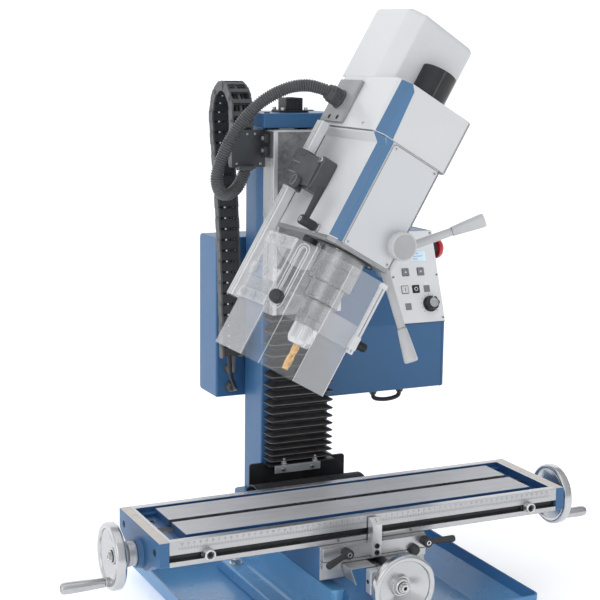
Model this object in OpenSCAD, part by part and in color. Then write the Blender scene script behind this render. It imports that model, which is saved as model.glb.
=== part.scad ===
// Bench vertical milling machine with a tilting head, sliding table,
// telescopic tool guard and a slanted operator panel.
// Frame: +X to the operator's right, +Y to the back, +Z up, millimetres.
// Origin: centre of the four hold-down bolts on the underside of the chip tray.

/* [Table] */
// Length of the table casting
table_len = 700; // [600:10:800]
// Width of the table casting
table_w = 192; // [180:2:210]
// Height of the table top over the bench
table_z = 205; // [200:1:215]
// Thickness of the table casting
table_h = 40; // [38:1:44]
// Thickness of each end bracket
bracket_t = 16; // [12:1:20]
// Table position along the saddle
table_x0 = 6; // [-50:1:50]

/* [Base and column] */
// Width of the chip tray over the rims
tray_w = 556; // [520:2:640]
// Depth of the chip tray over the rims
tray_d = 514; // [500:2:540]
// Height of the tray rim
tray_h = 55; // [40:1:60]
// Half spacing of the hold-down bolts across the machine
bolt_x = 98; // [92:1:104]
// Half spacing of the hold-down bolts front to back
bolt_y = 150; // [120:1:180]
// Radius of each hold-down hole
bolt_r = 6.5; // [5:0.5:8]
// Height of the top of the column casting
column_top = 807; // [800:1:830]
// Half width of the column front
column_hw = 65; // [60:1:70]

/* [Head] */
// Distance of the spindle in front of the origin
spindle_y = -84; // [-90:1:-80]
// Height of the swivel axis
swivel_z = 629; // [620:1:640]
// Tilt of the head to the right
tilt = 30; // [-60:1:60]
// Radius of the quill
quill_r = 37.5; // [34:0.5:40]
// Radius of the milling cutter
cutter_r = 6; // [3:0.5:10]

/* [Handwheels] */
// Outer radius of the handwheel rims
wheel_r = 53; // [45:1:56]
// Length of the crank grips
grip_len = 70; // [50:1:80]

/* [Hidden] */
$fn = 64;

// feed screws
screw_r = 9;
fit = 0.05;           // running fit, radial
way_gap = 0.3;        // clearance on the slideways
xs_z = 161;           // X screw height
ys_z = 120;           // Y screw height
zs_y = 140;           // Z screw distance behind the origin
tb = table_z - table_h;     // table underside
way_top = 137;        // top of the base slideway
tx_l = table_x0 - table_len/2;   // left end of the table casting
tx_r = table_x0 + table_len/2;
ty_f = spindle_y - table_w/2;    // table front face
ty_b = spindle_y + table_w/2;    // table back face

// quill feed pinion
pin_y = 46;
pin_z = 15;
// quill lock
lock_y = 4;
lock_z = -4;
// motor axis inside the head
mot_x = -10;
mot_y = 92;
// guard hinge
gd_x = -98;
gd_y = 95;
// slanted operator panel
pan_a = 69.8;
pan_x = 262;
pan_y = 160;
pan_z = 526.5;
key_at = [[-25, -23.5], [-2, -23.5], [-19, 9], [13, 9]];
// emergency stop on the right wall
stop_y = 200;
stop_z = 572;

module at_head() { translate([0, spindle_y, swivel_z]) rotate([0, tilt, 0]) children(); }
module at_panel(x = 0, y = 0) { translate([pan_x, pan_y, pan_z]) rotate([pan_a, 0, 0]) translate([x, y, 0]) children(); }
module bx(x0, x1, y0, y1, z0, z1) { translate([x0, y0, z0]) cube([x1 - x0, y1 - y0, z1 - z0]); }
module rodx(x0, x1, y, z, r) { translate([x0, y, z]) rotate([0, 90, 0]) cylinder(r = r, h = x1 - x0); }
module rody(x, y0, y1, z, r) { translate([x, y1, z]) rotate([90, 0, 0]) cylinder(r = r, h = y1 - y0); }
module rodz(x, y, z0, z1, r) { translate([x, y, z0]) cylinder(r = r, h = z1 - z0); }
// polygon in the YZ plane drawn out along X
module exx(x0, x1) { translate([x0, 0, 0]) rotate([90, 0, 90]) linear_extrude(x1 - x0) children(); }
// polygon in the XZ plane drawn out along Y
module exy(y0, y1) { translate([0, y1, 0]) rotate([90, 0, 0]) linear_extrude(y1 - y0) children(); }

// tube swept along a route of points, its ring frame carried from point to point
function unit(v) = v / norm(v);
function tang(p, i) = unit(p[min(i + 1, len(p) - 1)] - p[max(i - 1, 0)]);
function side(t) = unit(cross(t, abs(t[1]) < 0.9 ? [0, 1, 0] : [1, 0, 0]));
function frame_at(p, i) = i == 0 ? side(tang(p, 0)) :
  let (u = frame_at(p, i - 1), t = tang(p, i)) unit(u - (u * t) * t);
module sweep(p, r, n) {
  us = [for (i = [0 : len(p) - 1]) frame_at(p, i)];
  pts = [for (i = [0 : len(p) - 1]) let (t = tang(p, i), u = us[i], v = cross(t, u))
    for (k = [0 : n - 1]) p[i] + r * (cos(360 * k / n) * u + sin(360 * k / n) * v)];
  m = len(p);
  fs = concat([[for (k = [n - 1 : -1 : 0]) k]],
    [for (i = [0 : m - 2]) for (k = [0 : n - 1]) [i * n + k, i * n + (k + 1) % n, (i + 1) * n + (k + 1) % n, (i + 1) * n + k]],
    [[for (k = [0 : n - 1]) (m - 1) * n + k]]);
  polyhedron(points = pts, faces = [for (f = fs) [for (j = [len(f) - 1 : -1 : 0]) f[j]]]);
}
// smooth route through hand-set points
function cr(a, b, c, d, t) = 0.5 * ((2 * b) + (c - a) * t + (2 * a - 5 * b + 4 * c - d) * t * t + (3 * b - a - 3 * c + d) * t * t * t);
function spline(p, m) = concat([for (i = [0 : len(p) - 2]) for (k = [0 : m - 1])
  cr(p[max(i - 1, 0)], p[i], p[i + 1], p[min(i + 2, len(p) - 1)], k / m)], [p[len(p) - 1]]);

// bent sheet: a strip of thickness t along a polyline in plan, from z0 to z1
function nrm(a, b) = let (d = (b - a) / norm(b - a)) [-d[1], d[0]];
function mit(p, i) = i == 0 ? nrm(p[0], p[1]) : i == len(p) - 1 ? nrm(p[i - 1], p[i]) :
  let (a = nrm(p[i - 1], p[i]), b = nrm(p[i], p[i + 1])) (a + b) / (1 + a * b);
module strip_along(p, t) polygon(concat([for (i = [0 : len(p) - 1]) p[i] + mit(p, i) * t / 2],
  [for (i = [len(p) - 1 : -1 : 0]) p[i] - mit(p, i) * t / 2]));
module sheet(p, t, z0, z1) translate([0, 0, z0]) linear_extrude(z1 - z0) strip_along(p, t);

// routes
hose_pts = [[17, 24, 866], [0, 27, 875], [-25, 32, 880], [-60, 40, 874], [-100, 52, 850], [-135, 65, 808], [-156, 76, 762], [-163, 84, 728], [-154, 91, 703], [-136, 97, 698], [-118, 101, 710], [-104, 104, 735]];
lead_a = [[-86, 203, 370], [-87, 190, 371], [-92, 176, 378], [-97, 163, 392], [-99, 161, 420]];
lead_b = [[-84, 203, 337], [-84, 188, 338], [-93, 172, 350], [-105, 162, 376], [-109, 161, 420]];
lead_c = [[180, 160, 310], [182, 160, 305], [190, 160, 301], [208, 160, 299], [226, 160, 301], [234, 160, 305], [236, 160, 310]];

// ---------------------------------------------------------------- base
module chip_tray() color("steelblue") difference() {
  hull() {
    translate([-tray_w/2 + 42, -tray_d/2 + 42, 0]) cube([tray_w - 84, tray_d - 84, 1]);
    translate([-tray_w/2, -tray_d/2, tray_h - 24]) cube([tray_w, tray_d, 24]);
  }
  hull() {
    translate([-tray_w/2 + 45, -tray_d/2 + 45, 3]) cube([tray_w - 90, tray_d - 90, 1]);
    translate([-tray_w/2 + 3, -tray_d/2 + 3, tray_h - 22]) cube([tray_w - 6, tray_d - 6, 23]);
  }
  for (sx = [-1, 1], sy = [-1, 1]) rodz(sx * bolt_x, sy * bolt_y, -1, 10, bolt_r);
}

module base_casting() color("steelblue") difference() {
  union() {
    bx(-116, 116, -204, 206, 3, 26);
    bx(-80, 80, -204, 206, 20, 96);
    bx(-80, 80, 108, 206, 90, 150);
    exy(-225, 100) polygon([[-62, 90], [62, 90], [50, 110], [60, way_top], [-60, way_top], [-50, 110]]);
    bx(-62, 62, -225, -200, 70, 92);
  }
  bx(-16, 16, -226, 60, 102, way_top + 1);
  for (sx = [-1, 1], sy = [-1, 1]) rodz(sx * bolt_x, sy * bolt_y, 0, 40, bolt_r);
}

// bearing of the cross screw on the front of the base, and of the lift screw on the column cap
module screw_bearings() color("#909498") {
  difference() {
    union() {
      bx(-34, 34, -243, -225.1, 96, 135);
      rody(0, -243, -225.1, ys_z, 16);
    }
    rody(0, -244, -224, ys_z, screw_r + fit);
  }
  difference() {
    union() {
      bx(-32, 23, 117, 163, column_top + 25, column_top + 29);
      bx(-20, 12, 123, 157, column_top + 28, column_top + 50);
    }
    rodz(0, zs_y, column_top, column_top + 46, screw_r + 1);
    for (x = [-26.5, 17.5], y = [122.5, 157.5]) rodz(x, y, column_top + 20, column_top + 40, 1.8);
  }
}

module column() color("steelblue") difference() {
  union() {
    translate([0, 0, 150]) linear_extrude(column_top - 150)
      polygon([[-column_hw, 116], [column_hw, 116], [column_hw, 146], [60, 150], [60, 205], [-60, 205], [-60, 150], [-column_hw, 146]]);
    translate([0, 0, 226]) linear_extrude(column_top - 226)
      polygon([[-34, 117], [-34, 116], [-44, 98], [44, 98], [34, 116], [34, 117]]);
  }
  bx(-17, 17, 90, 160, 226, column_top + 1);
  bx(-46, 46, 158, 190, 140, column_top + 1);
}

module column_cap() color("steelblue") difference() {
  bx(-74, 74, 94, 209, column_top, column_top + 25);
  rodz(0, zs_y, column_top - 1, column_top + 30, screw_r + fit);
}

module right_box(o, x0, x1) exx(x0 + o, x1 - o)
  polygon([[300, 322 + o], [130 + o, 322 + o], [130 + o, 445 - o * 0.2], [190 + o * 0.6, 608 - o], [300, 608 - o]]);
module cabinet_shell() color("steelblue") difference() {
  union() {
    bx(-110, 70, 217, 298, 318, 608);
    intersection() { right_box(0, 68, 312); bx(0, 400, 0, 298, 0, 900); }
    // spacer bars to the column
    for (z = [350, 560]) bx(-50, 50, 205.05, 218, z, z + 24);
    // collar of the emergency stop
    rodx(311, 321, stop_y, stop_z, 19);
  }
  bx(-107.5, 80, 219.5, 299, 320.5, 605.5);
  right_box(2.5, 68, 312);
  at_panel() for (p = key_at) translate([p[0] - 6.8, p[1] - 6.8, -6]) cube([13.6, 13.6, 12]);
  at_panel(23, -53) translate([0, 0, -6]) cylinder(r = 5.2, h = 12);
  rodx(300, 330, stop_y, stop_z, 11.3);
  rody(-86, 210, 225, 370, 7.05);
  rody(-84, 210, 225, 337, 7.05);
  for (x = [180, 236]) rodz(x, 160, 315, 330, 6.05);
}

module cabinet_back() color("steelblue") difference() {
  bx(-110, 312, 298, 300, 318, 608);
  for (i = [0 : 11]) bx(170, 250, 296, 302, 520 + i * 6, 523 + i * 6);
}

module control_panel() color("white") difference() {
  at_panel() translate([-50, -86.5, 0.05]) cube([100, 173, 3]);
  at_panel() for (p = key_at) translate([p[0] - 6.8, p[1] - 6.8, -6]) cube([13.6, 13.6, 12]);
  at_panel(23, -53) translate([0, 0, -6]) cylinder(r = 5.2, h = 12);
}

// flat square key, its face 1.55 mm proud of the panel
module push_button(x, y) at_panel(x, y) translate([-6.45, -6.45, -4]) cube([12.9, 12.9, 8.6]);
module start_button() color("white") push_button(-25, -23.5);
module stop_button() color("#202020") push_button(-2, -23.5);
module jog_up_button() color("#303030") push_button(-19, 9);
module jog_down_button() color("#303030") push_button(13, 9);

module speed_knob() color("#181818") at_panel(23, -53) {
  translate([0, 0, -10]) cylinder(r = 5, h = 14);
  translate([0, 0, 3.6]) cylinder(r = 15, h = 4);
  translate([0, 0, 7.4]) cylinder(r1 = 13.5, r2 = 12, h = 12);
}

module estop_button() color("red") {
  rodx(302, 329, stop_y, stop_z, 11);
  translate([328, stop_y, stop_z]) rotate([0, 90, 0]) cylinder(r1 = 13, r2 = 19.5, h = 5);
  translate([333, stop_y, stop_z]) rotate([0, 90, 0]) cylinder(r1 = 19.5, r2 = 14, h = 9);
}

module bellows_bracket() color("#202020") difference() {
  union() {
    bx(-93, 93, 102, 106, 128, 222);
    bx(-64, 64, 82, 106, 218, 222);
    for (x = [-52, 52]) bx(x - 9, x + 9, 105, 116, 165, 200);
  }
  for (x = [-52, 52]) rody(x, 95, 120, 182, 4.2);
}

module bellows() color("#1c1c1c") translate([0, 0, 222.3]) linear_extrude(267) difference() {
  translate([-61, 83]) square([122, 32.5]);
  translate([-46.5, 96]) square([93, 40]);
}

module apron() color("#2a2a2a") difference() {
  rodx(-104, 104, 57.5, 154, 43.5);
  rodx(-105, 105, 57.5, 154, 41);
  bx(-110, 110, 0, 110, 100, 154);
}

// chain route seen from the left: up from the housing, over the arch and down to the head slide
chain_mid = spline([[160, 405], [168, 500], [177, 608], [190, 700], [202, 760], [212, 815], [210, 838], [200, 858], [185, 871], [166, 876], [147, 871], [131, 857], [122, 835], [122, 800], [122, 745]], 4);
module drag_chain() color("#202020") difference() {
  exx(-124, -84) strip_along(chain_mid, 17);
  bx(-120, -88, 117, 127, 740, 775);
  bx(-120, -88, 156, 166, 400, 440);
}

module glands_and_leads() color("#303030") {
  difference() { rody(-86, 203, 230, 370, 7); rody(-86, 200, 240, 370, 3.6); }
  difference() { rody(-86, 208, 216.9, 370, 10.5); rody(-86, 200, 240, 370, 7.02); }
  difference() { rody(-84, 203, 230, 337, 7); rody(-84, 200, 240, 337, 3.6); }
  difference() { rody(-84, 208, 216.9, 337, 10.5); rody(-84, 200, 240, 337, 7.02); }
  for (x = [180, 236]) {
    difference() { rodz(x, 160, 310, 330, 6); rodz(x, 160, 300, 340, 4.1); }
    difference() { rodz(x, 160, 313, 321.9, 9); rodz(x, 160, 300, 340, 6.02); }
  }
  bx(-98, -84, 173.5, 216.9, 412, 440);
  sweep(spline(lead_a, 3), 3.5, 8);
  sweep(spline(lead_b, 3), 3.5, 8);
  sweep(spline(lead_c, 3), 4, 8);
}

// ---------------------------------------------------------------- saddle and table
module saddle() color("silver") difference() {
  union() {
    bx(-95, 95, -186, 10, 110, 164.8);
    bx(-94, 92, -196, -186, 130, 164.8);
    exx(-95, 95) polygon([[spindle_y - 44, 160], [spindle_y - 44, 164.8], [spindle_y - 52, 178.6], [spindle_y + 52, 178.6], [spindle_y + 44, 164.8], [spindle_y + 44, 160]]);
    // zero pointer of the table scale
    bx(-8, 8, -198, -188, 140, 164.8);
    bx(-8, 8, -198, ty_f - 2.5, 160, 203);
    // oil plug
    rody(68, -206, -195, 143, 8);
  }
  exy(-200, 20) polygon([[-50 - way_gap, 109], [-50 - way_gap, 110], [-60 - way_gap, way_top + way_gap], [60 + way_gap, way_top + way_gap], [50 + way_gap, 110], [50 + way_gap, 109]]);
  bx(-100, 100, spindle_y - 16, spindle_y + 16, 145, 190);
  rody(-56, -198, -180, 156, 6.05);
  rody(87, -198, -180, 156, 6.05);
}

module feed_nuts() color("goldenrod") {
  difference() {
    bx(-22, 22, spindle_y - 14, spindle_y + 14, 145, 176);
    rodx(-30, 30, spindle_y, xs_z, screw_r + fit);
  }
  difference() {
    bx(-14, 14, -104, -64, 105, way_top + way_gap);
    rody(0, -110, -60, ys_z, screw_r + fit);
  }
}

// clamp lever: pivot stub along Y and a slanted handle
module lock_lever(x, z, a) translate([x, -196, z]) {
  rody(0, -1, 14, 0, 6);
  rody(0, -18, -0.4, 0, 8);
  translate([0, -11, 0]) rotate([0, a, 0]) rotate([18, 0, 0]) cylinder(r1 = 4.5, r2 = 5.5, h = 46);
}
module table_lock_left() color("#181818") lock_lever(-56, 156, -104);
module table_lock_right() color("#181818") lock_lever(87, 156, 84);

module table() color("silver") difference() {
  bx(tx_l, tx_r, ty_f, ty_b, tb, table_z);
  // dovetail for the saddle
  exx(tx_l - 1, tx_r + 1) polygon([[spindle_y - 44 - way_gap, tb - 1], [spindle_y - 44 - way_gap, tb], [spindle_y - 52 - way_gap, 179], [spindle_y + 52 + way_gap, 179], [spindle_y + 44 + way_gap, tb], [spindle_y + 44 + way_gap, tb - 1]]);
  // T-slot
  bx(tx_l + 34, tx_r + 1, spindle_y - 6, spindle_y + 6, 188, table_z + 1);
  bx(tx_l + 34, tx_r + 1, spindle_y - 10.5, spindle_y + 10.5, 186, 195);
  // coolant gutters and end troughs
  for (y = [ty_f + 14, ty_b - 26]) bx(tx_l + 6, tx_r - 6, y, y + 12, 197, table_z + 1);
  bx(tx_l + 6, tx_l + 36, ty_f + 14, ty_b - 14, 192, table_z + 1);
  bx(tx_r - 36, tx_r - 6, ty_f + 14, ty_b - 14, 192, table_z + 1);
  // groove for the stops on the front face
  bx(tx_l - 1, tx_r + 1, ty_f - 1, ty_f + 6, 173.6, 184);
  bx(tx_l - 1, tx_r + 1, ty_f + 3.5, ty_f + 8, 171.6, 187);
}

module bracket_plate(x0) difference() {
  exx(x0, x0 + bracket_t) polygon([[ty_f, table_z], [ty_f, 166], [ty_f + 30, 160], [spindle_y - 30, 140], [spindle_y + 30, 140], [ty_b - 24, 160], [ty_b, 172], [ty_b, table_z]]);
  rodx(x0 - 1, x0 + bracket_t + 1, spindle_y, xs_z, screw_r + fit);
  for (y = [ty_f + 22, ty_b - 22]) rodx(x0 - 1, x0 + bracket_t + 1, y, 184, 4.2);
}
module end_brackets() color("steelblue") {
  bracket_plate(tx_l - bracket_t);
  bracket_plate(tx_r);
}

// round stop held in the front groove by a sliding nut
module stop_at(x) {
  rody(x, ty_f - 12, ty_f - 0.3, 180.5, 9);
  rody(x, ty_f - 1, ty_f + 5, 180.5, 3);
  bx(x - 9, x + 9, ty_f + 4, ty_f + 7.6, 174.5, 186.5);
}
module table_stop_left() color("silver") stop_at(-282);
module table_stop_right() color("silver") stop_at(298);

// handwheel with a graduated collar of radius cr: axis +Z, zero at the bearing face, grip at angle a
module wheel(a, cr) difference() {
  union() {
    rotate_extrude() polygon([[screw_r + 0.02, 0.3], [cr, 0.3], [cr, 20], [13, 22], [13, 31], [17, 31], [30, 38], [wheel_r - 8, 40],
      [wheel_r - 8, 37], [wheel_r - 3, 35], [wheel_r, 38], [wheel_r, 48], [wheel_r - 3, 52], [wheel_r - 8, 52], [wheel_r - 9, 46], [30, 44], [17, 48], [17, 54], [screw_r + 0.02, 54]]);
    rotate([0, 0, a]) translate([wheel_r - 8, 0, 38]) cylinder(r = 7.9, h = 15);
    rotate([0, 0, a]) translate([wheel_r - 8, 0, 50]) cylinder(r = 4, h = grip_len);
  }
}
module grip(a) rotate([0, 0, a]) translate([wheel_r - 8, 0, 53.4]) difference() {
  rotate_extrude() polygon([[0, 0], [8.2, 0], [9.4, 12], [9.2, 40], [8.6, grip_len - 4], [7, grip_len], [0, grip_len]]);
  translate([0, 0, -1]) cylinder(r = 4 + fit, h = grip_len - 2.2);
}
module at_wheel_left() translate([tx_l - bracket_t, spindle_y, xs_z]) rotate([0, -90, 0]) children();
module at_wheel_right() translate([tx_r + bracket_t, spindle_y, xs_z]) rotate([0, 90, 0]) children();
module at_wheel_front() translate([0, -243, ys_z]) rotate([90, 0, 0]) children();

module x_screw() color("#b0b0b0") rodx(tx_l - bracket_t - 54, tx_r + bracket_t + 54, spindle_y, xs_z, screw_r);
module x_handwheels() color("silver") {
  at_wheel_left() wheel(170, 20);
  at_wheel_right() wheel(10, 20);
}
module x_grip_left() color("gainsboro") at_wheel_left() grip(170);
module x_grip_right() color("gainsboro") at_wheel_right() grip(10);
module y_screw() color("#b0b0b0") rody(0, -243 - 54, 50, ys_z, screw_r);
module y_handwheel() color("silver") at_wheel_front() wheel(-80, 16.5);
module y_grip() color("gainsboro") at_wheel_front() grip(-80);

// ---------------------------------------------------------------- column slide
module z_screw() color("#b0b0b0") rodz(0, zs_y, 240, column_top + 44, screw_r);

module carriage() color("silver") difference() {
  union() {
    bx(-65, 65, 71, 115.7, 490, 804);
    bx(-14, 14, 90, 154, 600, 650);
  }
  translate([0, 0, 480]) linear_extrude(110) polygon([[-34 - way_gap, 117], [-34 - way_gap, 116], [-44 - way_gap, 97.7], [44 + way_gap, 97.7], [34 + way_gap, 116], [34 + way_gap, 117]]);
  translate([0, 0, 660]) linear_extrude(150) polygon([[-34 - way_gap, 117], [-34 - way_gap, 116], [-44 - way_gap, 97.7], [44 + way_gap, 97.7], [34 + way_gap, 116], [34 + way_gap, 117]]);
  difference() {
    translate([0, 0, 585]) linear_extrude(80) polygon([[-34 - way_gap, 117], [-34 - way_gap, 116], [-44 - way_gap, 97.7], [44 + way_gap, 97.7], [34 + way_gap, 116], [34 + way_gap, 117]]);
    bx(-14, 14, 80, 160, 600, 650);
  }
  rodz(0, zs_y, 590, 660, screw_r + fit);
  rody(0, 60, 90, swivel_z, 20 + fit);
}

module chain_bracket() color("#3a3d42") difference() {
  union() {
    bx(-126, -65.1, 108, 112, 741, 804);
    bx(-69, -65.1, 76, 112, 758, 802);
  }
  for (z = [768, 792]) rodx(-72, -60, 86, z, 2.6);
}

// ---------------------------------------------------------------- head
module head_plan() polygon([[-63, -43], [-51, -55], [55, -55], [55, 145], [-63, 145]]);
module head_casting() color("whitesmoke") at_head() difference() {
  union() {
    translate([0, 0, -17]) linear_extrude(186) head_plan();
    rodx(50, 58, pin_y, pin_z, 28);
    rody(0, 140, 154.9, 0, 62);
    rody(0, 150, 168, 0, 20);
  }
  rodz(0, 0, -20, 180, quill_r + fit);
  rodx(-45, 70, pin_y, pin_z, 12 + fit);
  rody(47, -60, -28, 31, 5 + fit);
  rodx(-70, -48, lock_y, lock_z, 6 + fit);
}

module front_panel() color("gainsboro") at_head() difference() {
  bx(-42, 53, -57.6, -55.1, -12, 167);
  rody(47, -60, -50, 31, 6.5);
}

module upper_cover() color("whitesmoke") at_head() difference() {
  translate([0, 0, 169.2]) linear_extrude(93.8) polygon([[-80, -38], [-63, -55], [61.5, -55], [70, -46], [70, 150], [-80, 150]]);
  translate([0, 0, 173]) linear_extrude(86) polygon([[-76, -36.3], [-61.3, -51], [59.8, -51], [66, -44.5], [66, 146], [-76, 146]]);
  rodz(0, 0, 160, 180, 46);
  rodz(mot_x, mot_y, 250, 270, 22);
}

// tall cover with a folded left front, its top falling to the front
module motor_cover() color("whitesmoke") at_head() difference() {
  intersection() {
    translate([0, 0, 263.2]) linear_extrude(150) polygon([[-79, 165], [-79, 47], [-66, 6], [45, 6], [45, 165]]);
    exx(-100, 60) polygon([[0, 260], [170, 260], [170, 396.8], [47, 393.5], [0, 385]]);
  }
  intersection() {
    translate([0, 0, 262]) linear_extrude(150) polygon([[-75.5, 161.5], [-75.5, 47.5], [-63.3, 9.5], [41.5, 9.5], [41.5, 161.5]]);
    exx(-100, 60) polygon([[0, 250], [170, 250], [170, 393.3], [47, 390], [0, 381.5]]);
  }
  rodz(1, 0, 260, 322, 32);
}

module drawbar_cap() color("#202020") at_head() difference() {
  rodz(1, 0, 263.2, 318, 30);
  rodz(1, 0, 260, 314, 27);
  for (a = [-80 : 20 : 80]) rotate([0, 0, a]) bx(-1, 3, -31, -29.2, 266, 312);
}

module motor() color("#444444") at_head() difference() {
  union() {
    rodz(mot_x, mot_y, 263.4, 380, 48);
    rodz(mot_x, mot_y, 255, 264, 21);
  }
  rodz(mot_x, mot_y, 250, 390, screw_r + fit);
}

module motor_pulley() color("#888888") at_head() {
  rodz(mot_x, mot_y, 190, 378, screw_r);
  rodz(mot_x, mot_y, 190, 216, 25);
}

module spindle_pulley() color("#888888") at_head() difference() {
  union() {
    rodz(0, 0, 190, 216, 38);
    rodz(0, 0, 178, 240, 26);
  }
  rodz(0, 0, 170, 250, 16 + fit);
}

module drive_belt() color("#181818") at_head() translate([0, 0, 192]) linear_extrude(22) difference() {
  hull() { circle(r = 42, $fn = 48); translate([mot_x, mot_y]) circle(r = 29, $fn = 48); }
  hull() { circle(r = 38.4, $fn = 48); translate([mot_x, mot_y]) circle(r = 25.4, $fn = 48); }
}

module hose_connector() color("#2a2a2a") at_head() {
  difference() {
    bx(-84, -80.1, 64, 142, 174, 252);
    for (p = [[70, 180], [136, 180], [70, 246], [136, 246]]) rodx(-86, -78, p[0], p[1], 2.2);
  }
  difference() {
    union() { rodx(-98, -84, 106, 214, 21); rodx(-106, -98, 106, 214, 14.5); }
    rodx(-110, -88, 106, 214, 10.8);
  }
}

module hose() color("#555555") sweep(spline(hose_pts, 3), 10.4, 10);

module quill() color("silver") at_head() difference() {
  rodz(0, 0, -105, 150, quill_r);
  rodz(0, 0, -106, 151, 17);
  rodz(0, 0, -106, -75, 26);
  rodz(0, 0, 125, 151, 26);
  bx(-18, 18, 33.6, 40, -80, 140);
}

module quill_bearings() color("#c8c8c8") at_head() {
  for (z = [-104, -89, 126]) difference() {
    rodz(0, 0, z, z + 14, 25.97);
    rodz(0, 0, z - 1, z + 15, 16 + fit);
  }
}

module spindle() color("silver") at_head() difference() {
  union() {
    rodz(0, 0, -106, 256, 16);
    rodz(0, 0, -148, -105.2, 24);
    rodz(0, 0, -182, -148, 21.5);
  }
  rodz(0, 0, -183, -140, cutter_r + 0.02);
  for (a = [0 : 60 : 359]) rotate([0, 0, a]) bx(19, 23, -3, 3, -176, -158);
}

module end_mill() color("goldenrod") at_head() difference() {
  rodz(0, 0, -226, -141, cutter_r);
  for (a = [0, 90, 180, 270]) rotate([0, 0, a]) bx(0.9, 7, 0.9, 3.4, -227, -196);
}

// three levers on a hub, slanted outward, with the feed pinion shaft
module star_handle() color("#9a9a9a") at_head() {
  rodx(-40, 100, pin_y, pin_z, 12);
  rodx(58.4, 76, pin_y, pin_z, 30);
  rodx(75, 110, pin_y, pin_z, 22);
  for (b = [60, -60, 180]) translate([87, pin_y, pin_z]) rotate([90 + b, 0, 0]) rotate([0, 33, 0]) {
    translate([0, 0, 19]) cylinder(r1 = 8.4, r2 = 7.4, h = 108);
    translate([0, 0, 126]) rotate_extrude() polygon([[0, 0], [8.2, 0], [9, 5], [13.2, 50], [13.2, 54], [11.6, 57], [0, 57]]);
  }
}

module fine_feed_knob() color("#b8b8b8") at_head() {
  rody(47, -62, -30, 31, 5);
  rody(47, -78, -58, 31, 23);
  translate([47, -78, 31]) rotate([90, 0, 0]) cylinder(r1 = 23, r2 = 20, h = 4);
}

// lever that locks the quill, its handle up
module quill_lock() color("#202020") at_head() {
  rodx(-64, -49, lock_y, lock_z, 6);
  rodx(-98, -63.4, lock_y, lock_z, 8.5);
  translate([-89, lock_y, lock_z]) cylinder(r1 = 5, r2 = 6.5, h = 62);
}

// ---------------------------------------------------------------- tool guard
module guard_holder() color("#282828") at_head() difference() {
  union() {
    rodz(gd_x, gd_y, 42, 108, 17);
    bx(-90, -63.2, 43, gd_y + 12, 52, 106);
    rodx(-95, -80, 74, 52.5, 9);
  }
  rodz(gd_x, gd_y, 40, 110, 12.3);
  for (a = [0 : 12 : 348]) translate([gd_x, gd_y, 0]) rotate([0, 0, a]) bx(16, 18, -0.9, 0.9, 50, 100);
  rodx(-92, -62, 54, 98, 2.6);
}

module guard_arm() color("#c4c6c8") at_head() difference() {
  union() {
    rodz(gd_x, gd_y, 41, 109, 12);
    bx(gd_x - 7.5, gd_x + 7.5, gd_y - 11, gd_y + 11, 108.6, 165);
    bx(gd_x - 7.5, gd_x + 7.5, gd_y - 11, gd_y + 11, -158, 41.5);
  }
  for (y = [gd_y - 7, gd_y + 3]) bx(gd_x - 8.5, gd_x - 5, y, y + 4, -159, 38);
}

// guard sheets in plan: four flats that turn the corner in three bends of 30 degrees, the lower sheet inside the upper
lo_path = [[gd_x, 68], [gd_x, -34.5], [-79.5, -66.5], [-28.7, -95.9], [29.8, -95.9]];
up_path = concat([[gd_x - 5, gd_y - 11.1]], [for (i = [1 : 3]) lo_path[i] - 5 * mit(lo_path, i)], [[31, -100.9]]);
slot_c = (lo_path[1] + lo_path[2]) / 2;
// middle of the narrow flat, -X out of its face
module at_slot() translate([slot_c[0], slot_c[1], 0]) rotate([0, 0, 30]) children();

module shield_upper() color("lightblue", 0.35) at_head() difference() {
  union() {
    sheet(up_path, 3, -155, -38);
    // edge rail with its clamp knob
    bx(29, 38, -106, -98.4, -160, -38);
    rodx(37, 54, -102, -141, 7);
  }
  at_slot() {
    for (z = [-140, -52]) rodx(-9, -2, 0, z, 5);
    bx(-9, -2, -5, 5, -140, -52);
  }
}
module shield_lower() color("lightblue", 0.35) at_head() difference() {
  sheet(lo_path, 3, -238, -116);
  at_slot() rodx(-3, 3, 0, -134, 4.05);
}
module guard_knob() color("#202020") at_head() at_slot() {
  rodx(-20, 4, 0, -134, 4);
  rodx(-22, -6.8, 0, -134, 10.5);
}

// ---------------------------------------------------------------- assembly
chip_tray();
base_casting();
screw_bearings();
column();
column_cap();
cabinet_shell();
cabinet_back();
control_panel();
bellows_bracket();
bellows();
apron();
drag_chain();
glands_and_leads();
start_button();
stop_button();
jog_up_button();
jog_down_button();
speed_knob();
estop_button();
saddle();
feed_nuts();
table_lock_left();
table_lock_right();
table();
end_brackets();
table_stop_left();
table_stop_right();
x_screw();
x_handwheels();
x_grip_left();
x_grip_right();
y_screw();
y_handwheel();
y_grip();
z_screw();
carriage();
chain_bracket();
head_casting();
front_panel();
upper_cover();
motor_cover();
drawbar_cap();
motor();
motor_pulley();
spindle_pulley();
drive_belt();
hose_connector();
hose();
quill();
quill_bearings();
spindle();
end_mill();
star_handle();
fine_feed_knob();
quill_lock();
guard_holder();
guard_arm();
shield_upper();
shield_lower();
guard_knob();
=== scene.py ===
import math

import bpy
import numpy as np
from mathutils import Matrix, Vector
from mathutils.geometry import tessellate_polygon


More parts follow.
